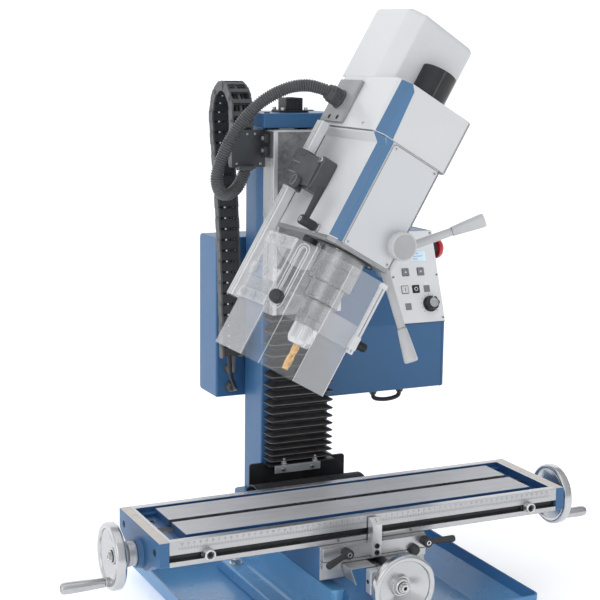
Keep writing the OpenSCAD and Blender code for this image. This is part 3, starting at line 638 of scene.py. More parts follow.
p.add(loft([rring(233, 212, 8, 0), rring(235, 214, 9, 0.6), rring(236.5, 215.5, 10, 2), rring(276.4, 255.4, 13, 29.4), rring(277.7, 256.7, 13.4, 30.8), rring(278, 257, 13.5, 32.4), rring(278, 257, 13.5, 54.2), rring(277.4, 256.4, 13, 55),
            rring(275.4, 254.4, 11.5, 55), rring(274.9, 253.9, 11, 54.3), rring(274.7, 253.7, 11, 34.4), rring(274.0, 253.0, 10.8, 33.2), rring(272.4, 251.4, 10.4, 32.2), rring(234.5, 213.5, 8, 4.6), rring(231.5, 210.5, 7, 3)]), tray_mat)
for sx in (-1, 1):
    for sy in (-1, 1):
        p.many(hex_bolt(9.0, 9.0), T(sx * 98, sy * 150, 26))
p.done()

p = Piece("base", "frame", ("base_casting",), slot="blue_paint")
# base plate and flange in the lighter gloss blue: painted reflection
p.add(plate(rrect(-116, 116, -204, 206, 16, 5), 3, 26, 3.5, 3), BLUE_B)
p.add(loft([[(x, y, z) for x, y in rrect(-80 - g, 80 + g, -203 - g * 0.05, 205 + g * 0.05, 9 + g * 0.4, 4)] for z, g in ((24, 9), (27, 5), (31, 2.2), (38, 0.6), (50, 0), (90, 0), (94, -1), (96, -4))]), BLUE_B)
p.add(plate(rrect(-80, 80, 108, 206, 9, 4), 90, 150, 3, 3), BLUE)
p.add(rbox(-62, 62, -225, -198, 66, 93, 3, 3), BLUE)
dove = [(-62, 90), (62, 90), (50.0, 110), (59.6, 136), (58.8, 137), (17, 137), (16, 136), (16, 102), (-16, 102), (-16, 136), (-17, 137), (-58.8, 137), (-59.6, 136), (-50.0, 110)]
p.add(plate(dove, -60, 225, 0.6, 1), lambda c, n: BLUE if n[1] < -0.9 or c[2] < 108 else IRON, XZ)
p.add(plate([(-62, 90), (62, 90), (50.0, 110), (59.6, 136), (58.8, 137), (-58.8, 137), (-59.6, 136), (-50.0, 110)], -100, -60, 0.6, 1), IRON, XZ)
# front bearing of the cross screw
p.add(rbox(-34, 34, -243, -225.1, 96, 135, 2.0, 3), BRIGHT)
p.add(ringz(9.1, 15.5, 0, 1.2, 0.3), IRON, axis_to((0, -243.1, 120), (0, -1, 0)))
for x in (-25.5, 25.5):
    p.many(cap_screw(4.6, 3.0, BLACK_ST), axis_to((x, -243, 119), (0, -1, 0)))
p.add(cyl(3.2, 0, 0.6, 0.2, 20), HOLE, axis_to((-34.0, -234, 116), (-1, 0, 0)))
p.done()

p = Piece("column_body", "frame", ("column",), slot="blue_paint")
low = fillet([(-65, 116), (65, 116), (65, 146), (60, 150), (60, 205), (-60, 205), (-60, 150), (-65, 146)], [3, 3, 2, 2, 5, 5, 2, 2], 3)
p.add(plate(low, 150, 227, 1.0, 2), BLUE)
up = [(-17, 116), (-17, 158), (17, 158), (17, 116)] + [q for q in fillet([(65, 116), (65, 146), (60, 150), (60, 205), (-60, 205), (-60, 150), (-65, 146), (-65, 116)], [3, 2, 2, 5, 5, 2, 2, 3], 3)]
p.add(plate(up, 226.5, 807, 0.6, 1), BLUE)
for s in (-1, 1):
    rail = [(s * 17, 117), (s * 17, 98), (s * 43.4, 98), (s * 44, 98.8), (s * 34, 116.2), (s * 34, 117)]
    p.add(plate(rail, 226, 807, 0.5, 1), IRON)
p.done()

p = Piece("column_head", "frame", ("column_cap", "screw_bearings"), slot="blue_paint")
p.add(rbox(-74, 74, 94, 209, 807.05, 832, 2.6, 3), BLUE)
for x in (-62, 62):
    for y in (108, 196):
        p.many(cap_screw(5.2, 2.2, BLACK_ST), T(x, y, 831.6))
p.add(plate(fillet([(-32, 122), (-27, 117), (18, 117), (23, 122), (23, 158), (18, 163), (-27, 163), (-32, 158)], 3, 3), 832, 836, 0.9, 2), BLACK_ST)
p.add(rbox(-20, 12, 123, 157, 835.8, 857, 1.6, 3), BLACK_ST)
p.add(cyl(8, 0, 0.9, 0.3, 32), DARK_ST, T(-4, 140, 856.9))
for x in (-26.5, 17.5):
    for y in (122.5, 157.5):
        p.many(cap_screw(3.4, 5.0, ZINC), T(x, y, 835.8))
p.done()

# lift screw, seen only through the slot of the column
def screw_thread(r, z0, z1, lead=5.0, depth=1.1, n=20, per=6):
    """shaft with a fine thread form along local z"""
    m = int((z1 - z0) / lead * per)
    V, F = [], []
    for i in range(m + 1):
        z = z0 + (z1 - z0) * i / m
        for k in range(n):
            ph = ((z - z0) / lead + k / n) % 1.0
            q = r - depth * (0.5 - 0.5 * math.cos(2 * math.pi * ph)) ** 0.7
            V.append((q * math.cos(2 * math.pi * k / n), q * math.sin(2 * math.pi * k / n), z))
    for i in range(m):
        for k in range(n):
            a, b = i * n + k, i * n + (k + 1) % n
            F.append((a, b, b + n, a + n))
    F.append(tuple(range(n - 1, -1, -1)))
    F.append(tuple(range(m * n, m * n + n)))
    return np.array(V, float), F


p = Piece("lift_screw", "z_feed", ("z_screw",), slot="steel")
p.add(screw_thread(9, 240, 800), STEEL, T(0, 140, 0))
p.add(cyl(8.9, 800, 851, 0.5), STEEL, T(0, 140, 0))
p.done()

# ================================================================== electrical housing
p = Piece("cabinet", "frame", ("cabinet_shell", "cabinet_back"), slot="blue_paint")
p.add(rbox(-110, 69, 217, 298, 318, 608, 4, 3), BLUE)
side = fillet([(298, 322), (130, 322), (130, 445), (190, 608), (298, 608)], [1.5, 4, 6, 5, 1.5], 4)
p.add(plate(side, 68, 312, 2.6, 3), BLUE, YZ)
# folded sheet seam round the right housing and the left box, a thin band in the darker recess blue: painted shade along
# the seam
p.add(plate(fillet([(297.2, 321.4), (129.4, 321.4), (129.4, 445), (189.4, 608.6), (297.2, 608.6)], [1.5, 4, 6, 5, 1.5], 4), 306.6, 307.2, 0.2, 1), BLUE_RECESS_SHADE, YZ)
# back cover with louvres and screws
p.add(plate(rrect(-109, 311, 319, 607, 5, 3), -300.2, -297.6, 0.7, 2), BLUE, XZ)
for i in range(12):
    z = 520 + i * 6
    p.add(loft([[(170, 300, z), (250, 300, z), (250, 300, z + 3.4), (170, 300, z + 3.4)], [(172, 302.4, z - 0.6), (248, 302.4, z - 0.6), (248, 302.0, z + 0.4), (172, 302.0, z + 0.4)]], False), BLUE)
    p.add(quad((250, 300.26, z - 1.4), (170, 300.26, z - 1.4), (170, 300.26, z + 0.2), (250, 300.26, z + 0.2)), HOLE)
for x, z in ((-102, 326), (-102, 463), (-102, 600), (100, 326), (100, 600), (304, 326), (304, 463), (304, 600)):
    p.many(pan_screw(3.6, 1.8), axis_to((x, 300.2, z), (0, 1, 0)))
# spacer bars to the column
for z in (350, 560):
    p.add(rbox(-50, 50, 205.1, 218, z, z + 24, 1.5, 2), BLACK_ST)
# fixed collar of the emergency stop
p.add(lathe([(11.4, 0), (19.5, 0), (19.5, 3.2), (16.5, 5.0), (15.5, 9.0), (12.6, 9.6), (11.4, 9.6), (11.4, 0)], 48), PLASTIC, axis_to((312, 200, 572), (1, 0, 0)))
p.done()

p = Piece("operator_panel", "frame", ("control_panel",), PANEL, slot="panel_white")
holes = [rrect(x - 6.85, x + 6.85, y - 6.85, y + 6.85, 1.0, 2) for x, y in ((-25, -23.5), (-2, -23.5), (-19, 9), (13, 9))] + [circ(5.4, 24, 23, -53)]
p.add(plate(rrect(-50, 50, -86.5, 86.5, 2.0, 3), 0.05, 3.05, 0.5, 2, holes), WHITE_P)
p.add(plate(rrect(-50.9, 50.9, -87.4, 87.4, 2.4, 3), -0.4, 1.2, 0.2, 1), PLASTIC)
# display with a thin bezel
p.add(plate(rrect(-5, 30, 27, 49, 1.8, 3), 2.8, 3.5, 0.3, 2, [rrect(-4, 29, 28, 48, 1.2, 3)]), KEY_W)
p.add(plate(rrect(-4.2, 29.2, 27.8, 48.2, 1.2, 3), 2.8, 3.3, 0.1, 1), SCREEN)
for k, (x0, x1) in enumerate(((1, 13), (1, 22), (1, 10))):
    p.add(ticks([(x0, x1, 42.6 - k * 5, 43.8 - k * 5)], 3.32), KEY_G)
# fixed indicator fields
for x, y in ((21, -24), (-23, -55.5)):
    p.add(plate(rrect(x - 6.4, x + 6.4, y - 6.4, y + 6.4, 1.2, 3), 2.9, 3.55, 0.3, 2), KEY_G)
    p.add(plate(circ(1.4, 20, x, y + 10.6), 2.9, 3.9, 0.3, 2), SCREEN)
# frames round the keys
for x, y in ((-25, -23.5), (-2, -23.5), (-19, 9), (13, 9)):
    p.add(plate(rrect(x - 7.7, x + 7.7, y - 7.7, y + 7.7, 1.6, 3), 3.0, 3.35, 0.12, 1, [rrect(x - 7.0, x + 7.0, y - 7.0, y + 7.0, 1.1, 3)]), INK if x in (-2, -25) else KEY_G)
# speed scale round the knob
for k in range(11):
    a = math.radians(225 - 27 * k)
    g = ticks([(16.6, 19.0 + (1.2 if k % 5 == 0 else 0), -0.3, 0.3)], 3.12)
    p.add(g, INK, T(23, -53, 0) @ Matrix.Rotation(a, 4, "Z"))
for x, y in ((45, 81), (46, 1), (46, -80), (-45, 81), (-46, 1), (-46, -80)):
    p.many(pan_screw(2.6, 1.4), T(x, y, 3.05))
p.done()


def key(name, body, x, y, mat, marks, mmat):
    q = Piece(name, body, (name,), PANEL @ T(x, y, 0))
    q.add(plate(rrect(-6.45, 6.45, -6.45, 6.45, 1.0, 3), -4, 4.6, 0.7, 3), mat)
    for g in marks:
        q.add(g, mmat)
    q.done()


arrow = lambda s: (np.array([(-2.6, -1.2 * s, 4.64), (2.6, -1.2 * s, 4.64), (0, 2.6 * s, 4.64)][::int(s)], float), [(0, 1, 2)])
key("start_button", "start_button", -25, -23.5, KEY_W, [ticks([(-0.6, 0.6, -3.2, 3.2)], 4.64)], INK)
key("stop_button", "stop_button", -2, -23.5, INK, [plate(circ(3.8, 32), 4.5, 4.68, 0, 1, [circ(2.5, 32)])], KEY_W)
key("jog_up_button", "jog_up_button", -19, 9, KEY_G, [arrow(1)], KEY_W)
key("jog_down_button", "jog_down_button", 13, 9, KEY_G, [arrow(-1)], KEY_W)

p = Piece("speed_dial", "speed_knob", ("speed_knob",), PANEL @ T(23, -53, 0), slot="black_plastic")
p.add(cyl(4.9, -10, 6, 0.4, 24), STEEL)
p.add(lathe([(0, 3.6), (14.6, 3.6), (15, 4.2), (15, 6.4), (14.2, 7.4), (0, 7.4)], 48), PLASTIC)
lobes = []
for k in range(72):
    a = 2 * math.pi * k / 72
    lobes.append(12.3 + 1.1 * max(-0.6, math.cos(6 * a)))
rings = []
for z, s in ((7.3, 1.0), (8.4, 1.02), (14.0, 0.985), (17.8, 0.955), (19.0, 0.91), (19.4, 0.84)):
    rings.append([(s * q * math.cos(2 * math.pi * k / 72), s * q * math.sin(2 * math.pi * k / 72), z) for k, q in enumerate(lobes)])
p.add(loft(rings), PLASTIC)
p.add(lathe([(9.0, 19.3), (8.8, 19.8), (7.5, 20.0), (0, 20.05)], 40), STEEL)
p.add(rbox(-0.5, 0.5, 3.0, 12.0, 18.8, 20.15, 0.2, 1), KEY_W)
p.done()

p = Piece("stop_mushroom", "estop_button", ("estop_button",), axis_to((312, 200, 572), (1, 0, 0)), slot="red_plastic")
p.add(cyl(10.8, -10, 16, 0.4, 32), PLASTIC_G)
p.add(lathe([(10.8, 15), (17.5, 15.2), (19.2, 16.4), (19.4, 18.5), (18.6, 22.5), (15.8, 26.0), (10.5, 28.2), (5, 29.0), (0, 29.2)], 56), RED)
for k in range(3):
    a = 2 * math.pi * k / 3
    p.add(tube([(13.5 * math.cos(a + t), 13.5 * math.sin(a + t), 27.25) for t in np.linspace(0, 1.1, 12)], 0.55, 6), KEY_W)
p.done()

# ================================================================== column way covers
def u_ring(d, z, back=115.4):
    """way-cover outline in plan, drawn in by d"""
    x, y = 61 - d, 83 + d
    return [(-x, back, z), (-x, y + 4, z), (-x + 3, y + 0.6, z), (-x + 5, y, z), (x - 5, y, z), (x - 3, y + 0.6, z), (x, y + 4, z), (x, back, z)]


p = Piece("way_bellows", None, ("bellows",), slot="black_rubber")
zs, z, k = [222.6], 222.6, 0
pitches = [9.6 + 11.0 * (i / 16.0) ** 1.25 for i in range(17)]
tot = sum(pitches)
pitches = [q * (489.0 - 222.6) / tot for q in pitches]
rings, tags = [], []
for i, h in enumerate(pitches):
    for dz, d in ((0.0, 11.0), (0.06, 11.3), (0.40, 1.0), (0.46, 0.1), (0.54, 0.1), (0.60, 1.0), (0.94, 11.3)):
        rings.append(u_ring(d, z + h * dz))
        tags.append(d < 0.5)
    z += h
rings.append(u_ring(11.0, 489.0))
tags.append(False)
n = len(rings[0])
V = [q for ring in rings for q in ring]
F, edge = [], []
for i in range(len(rings) - 1):
    for k in range(n - 1):
        a, b = i * n + k, i * n + k + 1
        F.append((a, b, b + n, a + n))
        edge.append(tags[i] and tags[i + 1])
it = iter(edge)
# flat crests of the folds in the lighter grey: painted highlight
p.add((np.array(V, float), F), lambda c, nn: FOLD_CREST_HIGHLIGHT if next(it) else FOLD)
# inner lining, so that the cover is closed from behind
p.add(plate([(-49, 97), (49, 97), (49, 96.2), (-49, 96.2)], 223, 488.6, 0.1, 1), RUBBER)
p.done(angle=24, blend=("frame", "carriage", (0, 0.09, 0.2223), (0, 0.09, 0.489)))

p = Piece("cover_bracket", "frame", ("bellows_bracket",), slot="black_steel")
outline = fillet([(-93, 128), (93, 128), (93, 222), (66, 222), (62, 214), (-62, 214), (-66, 222), (-93, 222)], [4, 4, 5, 2, 2, 2, 2, 5], 3)
p.add(plate(outline, -106, -102, 0.8, 2, [circ(4.2, 20, -52, 182), circ(4.2, 20, 52, 182)]), BLACK_ST, XZ)
p.add(rbox(-64, 64, 82, 104, 218, 221.6, 1.0, 2), BLACK_ST)
for x in (-52, 52):
    p.add(rbox(x - 9, x + 9, 105.5, 116, 165, 200, 1.5, 2), BLACK_ST)
    p.many(cap_screw(5.4, 4.2, BLACK_ST), axis_to((x, 102, 182), (0, -1, 0)))
# clamp strip with its two screws, and two studs standing on the flange
p.add(rbox(-54, 34, 78.6, 82, 207, 220.8, 0.8, 2), IRON)
for x in (-38, 18):
    p.many(pan_screw(4.2, 2.2, STEEL_D), axis_to((x, 78.6, 213.5), (0, -1, 0)))
for x in (-34, 26):
    p.many(hex_bolt(4.4, 5.0), T(x, 86, 221.4))
    p.add(cyl(2.6, 224, 231.5, 0.5, 20), ZINC, T(x, 86, 0))
p.done()

# arched rubber apron between the bracket and the saddle
p = Piece("rubber_apron", None, ("apron",), slot="black_rubber")
rings = []
m = 40
for x in (-104, -103.4, -60, 0, 60, 103.4, 104):
    row = []
    ins = 0.5 if abs(x) > 103.9 else 0.0
    for k in range(m + 1):
        a = math.pi * k / m
        r = 43.4 - ins
        row.append((x, 57.5 - r * math.cos(a), 154.2 + r * math.sin(a)))
    for k in range(m, -1, -1):
        a = math.pi * k / m
        r = 40.8 + ins
        row.append((x, 57.5 - r * math.cos(a), 154.2 + r * math.sin(a)))
    rings.append(row)
p.add(loft(rings[::-1]), RUBBER)
p.done(blend=("frame", "saddle", (0, 0.101, 0.16), (0, 0.014, 0.16)))

# ================================================================== drag chain and leads
p = Piece("chain_links", None, ("drag_chain",), slot="black_plastic")
chain_pts = [(160, 405), (168, 500), (177, 608), (190, 700), (202, 760), (212, 815), (210, 838), (200, 858), (185, 871), (166, 876), (147, 871), (131, 857), (122, 835), (122, 800), (122, 745)]
pts, s = resample(spline([(0, y, z) for y, z in chain_pts], 24), 0.5)
pitch = s[-1] / round(s[-1] / 18.8)
nl = int(round(s[-1] / pitch))


def on_chain(q):
    return np.array([np.interp(q, s, pts[:, j]) for j in range(3)])


def chain_frame(q, x=-104):
    """local x across the chain, y along it, z towards the middle of the loop"""
    c, t = on_chain(q), on_chain(q + 6) - on_chain(q - 6)
    t = t / np.linalg.norm(t)
    return Matrix(((1, 0, 0, x), (0, t[1], -t[2], c[1]), (0, t[2], t[1], c[2]), (0, 0, 0, 1)))


for i in range(nl):
    M = chain_frame((i + 0.5) * pitch)
    for sx in (-1, 1):
        off = 17.2 if i % 2 else 17.9
        prof = fillet([(-11.4, -6.2), (-8.4, -8.4), (8.4, -8.4), (11.4, -6.2), (11.4, 6.2), (8.4, 8.4), (-8.4, 8.4), (-11.4, 6.2)], 1.6, 2)
        p.add(plate(prof, -1.7, 1.7, 0.45, 1), PLASTIC_G, M @ T(sx * off, 0, 0) @ YZ)
        p.add(cyl(4.8, 0, 0.7, 0.3, 20), PLASTIC_G, M @ T(sx * (off + 1.3), 9.2, 0) @ R(90 * sx, "Y"))
        p.add(cyl(1.4, 0, 1.0, 0.25, 12), PLASTIC, M @ T(sx * (off + 1.4), 9.2, 0) @ R(90 * sx, "Y"))
    # closed faces towards the middle of the loop, split by narrow gaps with a pin and two bridges
    p.add(rbox(-16.2, 16.2, -7.5, 7.3, 6.5, 8.3, 0.5, 1), PLASTIC, M)
    G = chain_frame((i + 1.0) * pitch)
    p.add(rbox(-16.2, 16.2, -3.4, 3.4, 5.2, 5.9, 0.2, 1), HOLE, G)
    p.add(cyl(1.55, 5.8, 8.0, 0.4, 12), KEY_W, G @ T(-6.4, 0, 0))
    p.add(cyl(0.8, 5.8, 7.6, 0.2, 10), ZINC, G @ T(9.6, 0, 0))
    for x in (-1.2, 5.2, 13.4):
        p.add(rbox(x - 1.5, x + 1.5, -2.6, 2.6, 5.8, 7.6, 0.3, 1), PLASTIC, G)
    # cross bars on the outside, open between
    p.add(rbox(-16.6, 16.6, -5.2, 2.6, -8.6, -6.5, 0.7, 2), PLASTIC_G, M)
    p.add(rbox(-15.8, 15.8, 3.9, 5.4, -8.0, -6.8, 0.3, 1), PLASTIC, M)
# cables running in the chain
for x, d, mt in ((-96, 0.8, LEAD), (-104, -1.2, HOSE), (-111.5, 0.4, LEAD)):
    path = []
    for q in np.arange(14.0, s[-1] - 6, 9.0):
        M = chain_frame(q)
        path.append(tuple(M @ Vector((x + 104, 0, d))))
    p.add(tube(path, 2.9, 8), mt)
p.done(blend=("frame", "carriage", (0, 0.212, 0.815), (0, 0.135, 0.828)))

p = Piece("glands", "frame", ("glands_and_leads",), slot="black_plastic")
for x, z in ((-86, 370), (-84, 337)):
    M = axis_to((x, 217, z), (0, -1, 0))
    p.add(plate(ngon(10.4, 6), 0, 5, 0.8, 2), PLASTIC_G, M)
    p.add(lathe([(0, 4.8), (8.8, 4.8), (8.8, 6), (8.2, 10.5), (6.2, 13.4), (4.0, 14), (0, 14)], 32), PLASTIC_G, M)
    for k in range(12):
        p.add(rbox(-0.5, 0.5, 7.8, 9.0, 5.4, 10.2, 0.2, 1), PLASTIC_G, M @ R(30 * k, "Z"))
lead_a = [(-86, 205, 370), (-87, 190, 371), (-92, 176, 378), (-97, 163, 392), (-99, 161, 420)]
lead_b = [(-84, 205, 337), (-84, 188, 338), (-93, 172, 350), (-105, 162, 376), (-109, 161, 420)]
lead_c = [(180, 160, 312), (182, 160, 305), (190, 160, 301), (208, 160, 299), (226, 160, 301), (234, 160, 305), (236, 160, 312)]
p.add(tube(spline(lead_a, 8), 3.5, 14), HOSE)
p.add(tube(spline(lead_b, 8), 3.5, 14), LEAD)
p.add(tube(spline(lead_c, 8), 4.0, 14), LEAD)
for x in (180, 236):
    M = axis_to((x, 160, 322), (0, 0, -1))
    p.add(plate(ngon(8.8, 6), 0, 4, 0.7, 2), PLASTIC_G, M)
    p.add(lathe([(0, 3.8), (7.4, 3.8), (7.4, 6), (6.4, 9.6), (4.4, 11.6), (0, 11.6)], 28), PLASTIC_G, M)
# anchor of the chain on the housing
p.add(rbox(-99, -83, 173.6, 177.2, 411, 441, 1.0, 2), BLACK_ST)
p.add(rbox(-98, -94.6, 173.6, 216.9, 412, 440, 1.0, 2), BLACK_ST)
p.add(rbox(-87.4, -84, 173.6, 216.9, 412, 440, 1.0, 2), BLACK_ST)
p.add(rbox(-100, -82, 213.6, 216.9, 408, 444, 1.0, 2), BLACK_ST)
p.done()


# ================================================================== saddle
p = Piece("cross_saddle", "saddle", ("saddle",), slot="machined_iron")
sec = [(-95, 110.6), (-94.4, 110), (-50.9, 110), (-50.3, 110.4), (-60.3, 137.3), (60.3, 137.3), (50.3, 110.4), (50.9, 110), (94.4, 110), (95, 110.6), (95, 164.2), (94.4, 164.8), (-94.4, 164.8), (-95, 164.2)]


def saddle_mat(c, n):
    if n[1] < -0.8:
        return IRON
    if abs(n[0]) > 0.8 and abs(c[0]) > 90:
        return BLUE
    return IRON


p.add(plate(sec, -10, 186, 0.8, 1), saddle_mat, XZ)
# upper dovetail that carries the table
p.add(plate([(-128, 160), (-100, 160), (-100, 178.2), (-100.4, 178.6), (-135.4, 178.6), (-136, 178.2), (-128, 164.8)], -95, 95, 0.4, 1), IRON, YZ)
p.add(plate([(-68, 160), (-40, 160), (-40, 164.8), (-32, 178.2), (-32.6, 178.6), (-67.6, 178.6), (-68, 178.2)], -95, 95, 0.4, 1), IRON, YZ)
# front strip, in two steps with a dark joint line
p.add(rbox(-94, 92, -196, -185, 143.2, 164.8, 0.9, 2), RIM)
p.add(plate(fillet([(-94, 130), (-62, 130), (-62, 137.8), (62, 137.8), (62, 130), (92, 130), (92, 142.2), (-94, 142.2)], [1.5, 0.5, 0.5, 0.5, 0.5, 1.5, 0.6, 0.6], 2), 185, 195.2, 0.7, 2), RIM, XZ)
p.add(rbox(-93, 91, -194.6, -186, 142, 143.4, 0.1, 1), HOLE)
p.add(cyl(2.4, 0, 0.5, 0.1, 20), HOLE, axis_to((-74, -195.2, 138.5), (0, -1, 0)))
p.add(cyl(2.4, 0, 0.5, 0.1, 20), HOLE, axis_to((78, -195.2, 138.5), (0, -1, 0)))
# zero pointer of the table scale
p.add(plate(fillet([(-199, 140.5), (-186.5, 140.5), (-186.5, 163), (-182.7, 167), (-182.7, 202.5), (-188.5, 203.5), (-199, 194)], [1, 0.5, 1, 1, 1, 2.5, 2], 3), -8.4, 8.4, 1.0, 2), ALU, YZ)
for z in (147.5, 158.5):
    p.many(cap_screw(4.3, 1.6, BLACK_ST), axis_to((0, -198.9, z), (0, -1, 0)))
g = np.array((0, -10.5, -9.5)) / np.linalg.norm((0, -10.5, -9.5))
p.add(ticks([(-0.35, 0.35, -2.8, 3.8)], 0.08), INK, Matrix.Translation((0, -193.75, 198.75)) @ R(42, "X"))
# oil plug
p.add(lathe([(0, 0), (8.2, 0), (8.6, 0.8), (8.6, 7.4), (7.9, 8.9), (5.5, 9.9), (0, 10.2)], 36), PLASTIC, axis_to((68, -196, 143), (0, -1, 0)))
for k in range(18):
    p.add(rbox(8.2, 9.0, -0.45, 0.45, 1.0, 7.2, 0.2, 1), PLASTIC, axis_to((68, -196, 143), (0, -1, 0)) @ R(20 * k, "Z"))
# gib screws with lock nuts on the right side
for y in (-160, -120, -56, -16):
    M = axis_to((95, y, 128), (1, 0, 0))
    p.add(plate(ngon(5.2, 6), 0, 3.4, 0.4, 2), ZINC, M)
    p.add(cyl(2.6, 3, 6.2, 0.4, 18), STEEL_D, M)
p.done()


def clamp_lever(name, x, z, a):
    """turning clamp lever: hub along -y with a screw in its end, and a slanted tapered handle"""
    q = Piece(name, name, (name,), T(x, -196, z), slot="black_plastic")
    q.add(cyl(5.9, 0, 14, 0.4, 28), STEEL_D, axis_to((0, 13, 0), (0, -1, 0)))
    A = axis_to((0, -0.4, 0), (0, -1, 0))
    q.add(lathe([(0, 0), (6.9, 0), (7.4, 0.6), (8.0, 9), (8.2, 15.5), (7.4, 17.4), (5.2, 17.8), (4.6, 16.6), (0, 16.6)], 36), PLASTIC, A)
    for k in range(14):
        q.add(rbox(7.2, 8.0, -0.5, 0.5, 1.0, 8.5, 0.2, 1), PLASTIC, A @ R(360 / 14 * k, "Z"))
    q.many(cap_screw(4.2, 1.7, ZINC), A @ T(0, 0, 16.4))
    H = T(0, -11, 0) @ R(a, "Y") @ R(18, "X")
    rings = []
    for zz, w, h in ((2, 4.4, 4.4), (8, 4.5, 4.2), (18, 4.8, 4.2), (30, 5.5, 4.6), (40, 5.9, 4.9), (44.5, 5.5, 4.6), (46.4, 4.2, 3.5), (47, 2.2, 1.9)):
        rings.append([(w * math.cos(t), h * math.sin(t), zz) for t in np.linspace(0, 2 * math.pi, 25)[:-1]])
    q.add(loft(rings), PLASTIC, H)
    q.done()


clamp_lever("table_lock_left", -56, 156, -104)
clamp_lever("table_lock_right", 87, 156, 84)

# ================================================================== table
TL, TR = -344.0, 356.0
p = Piece("work_table", "table", ("table",), slot="machined_iron")


def t_low(c, n):
    if n[1] < -0.8 and c[1] < -179:
        return RIM
    # back wall of the front groove in black steel: painted shade
    if n[1] < -0.5 and c[1] < -170:
        return BLACK_ST
    # top and bottom walls of the groove in dark steel: painted shade
    if c[1] < -171 and 173 < c[2] < 188:
        return STEEL_D
    # gutter floors in the darker recess blue: painted shade
    if n[2] > 0.8 and c[2] > 190:
        return BLUE_RECESS_SHADE
    if abs(n[0]) > 0.8 or n[1] > 0.8:
        return BLUE
    return IRON


low = [(-179.4, 165), (-128.3, 165), (-136.3, 179), (-31.7, 179), (-39.7, 165), (11.4, 165), (12, 165.6), (12, 192), (-73.5, 192), (-73.5, 186), (-94.5, 186), (-94.5, 192), (-180, 192),
       (-180, 184.4), (-179.6, 184), (-172, 184), (-172, 173.6), (-179.6, 173.6), (-180, 173.2), (-180, 165.6)]
p.add(plate(low, TL, TR, 0.0, 1), t_low, YZ)


def pad_mat(c, n):
    if n[2] > 0.8 and c[2] > 204:
        return TABLE
    # walls of the middle T-slot in dark steel: painted shade
    if abs(n[1]) > 0.8 and (-96 < c[1] < -72):
        return STEEL_D
    # remaining faces of the lands in the darker recess blue: painted shade
    return BLUE_RECESS_SHADE


for prof in ([(-154, 191.8), (-94.5, 191.8), (-94.5, 195), (-90, 195), (-90, 204.6), (-90.5, 205), (-153.4, 205), (-154, 204.4)],
             [(-14, 191.8), (-14, 204.4), (-14.6, 205), (-77.5, 205), (-78, 204.6), (-78, 195), (-73.5, 195), (-73.5, 191.8)]):
    p.add(plate(prof, TL + 36, TR - 36, 0.6, 1), pad_mat, YZ)


def rim_mat(c, n):
    if n[2] > 0.6 or n[1] < -0.6:
        return RIM
    # faces off the top and front in the darker recess blue: painted shade
    return BLUE_RECESS_SHADE


# faces of the rims and liners that look into the gutters take the darker recess blue: painted shade
p.add(plate([(-180, 191.9), (-166, 191.9), (-166, 204.4), (-166.6, 205), (-179.2, 205), (-180, 204.2)], TL, TR, 0.4, 1), rim_mat, YZ)
p.add(plate([(-2, 191.9), (12, 191.9), (12, 204.2), (11.2, 205), (-1.4, 205), (-2, 204.4)], TL, TR, 0.4, 1), lambda c, n: RIM if n[2] > 0.6 else (BLUE if n[1] > 0.6 else BLUE_RECESS_SHADE), YZ)
for x0, x1 in ((TL, TL + 6), (TR - 6, TR)):
    p.add(rbox(x0, x1, -166.2, -1.8, 191.8, 205, 0.4, 1), lambda c, n: RIM if n[2] > 0.6 else BLUE_RECESS_SHADE)
for y0 in (-166.1, -14.1):
    p.add(rbox(TL + 5.8, TR - 5.8, y0, y0 + 12.2, 191.8, 197, 0.3, 1), BLUE_RECESS_SHADE)
# drain hole in the left trough, its ring in the darker recess blue: painted shade
p.add(ringz(4.4, 6.4, 0, 1.0, 0.3, 28), BLUE_RECESS_SHADE, T(TL + 21, -40, 192))
p.add(cyl(4.4, 0, 0.5, 0.1, 28), HOLE, T(TL + 21, -40, 192))
# scale on the front rim: fine marks every millimetre, longer ones at 5 and 10, plain figures every 10
S = Matrix(((1, 0, 0, 0), (0, 0, -1, -180.06), (0, 1, 0, 0), (0, 0, 0, 1)))
marks, longm = [], []
for i in range(-335, 336):
    x = 6.0 + i
    h = 6.2 if i % 10 == 0 else (4.8 if i % 5 == 0 else 3.0)
    (longm if i % 5 == 0 else marks).append((x - 0.14, x + 0.14, 192.0, 192.0 + h))
p.add(ticks(marks), KEY_G, S)
p.add(ticks(longm), INK, S)
for i in range(-330, 331, 10):
    p.add(figures(str(abs(i) // 10), 6.0 + i, 199.4, 2.8, 0.45), KEY_G, S)
# gib adjusting screws along the front, below the groove
for x in (-60, 20, 72):
    p.add(cyl(2.5, 0, 0.5, 0.1, 18), STEEL_D, axis_to((x, -180, 170), (0, -1, 0)))
p.done()

p = Piece("table_ends", "table", ("end_brackets",), slot="blue_paint")
prof = fillet([(-180, 205), (-180, 166), (-150, 160), (-114, 140), (-54, 140), (-12, 160), (12, 172), (12, 205)], [1.5, 3, 14, 14, 14, 14, 6, 1.5], 4)


def br_mat(c, n):
    return BEIGE if n[2] > 0.75 and c[2] > 203 else BLUE


for x0, sx in ((TL - 16, -1), (TR, 1)):
    p.add(plate(prof, x0 + 0.05, x0 + 15.95, 0.9, 2), br_mat, YZ)
    face = x0 if sx < 0 else x0 + 16
    M = axis_to((face, -84, 161), (sx, 0, 0))
    p.add(lathe([(9.2, -0.5), (25.5, -0.5), (24.4, 1.5), (23.6, 4.5), (23.2, 7.0), (22.6, 7.6), (9.2, 7.6), (9.2, -0.5)], 44), BLUE, M)
    for y in (-158, -10):
        N = axis_to((face, y, 184), (sx, 0, 0))
        # ring round the hole in the darker recess blue: painted shade
        p.add(ringz(5.4, 6.4, -0.2, 0.35, 0.15, 32), BLUE_RECESS_SHADE, N)
        p.add(cyl(5.5, -0.2, 0.12, 0.02, 28), HOLE, N)
        p.many(cap_screw(3.9, 0.9, BLACK_ST), N)
p.done()

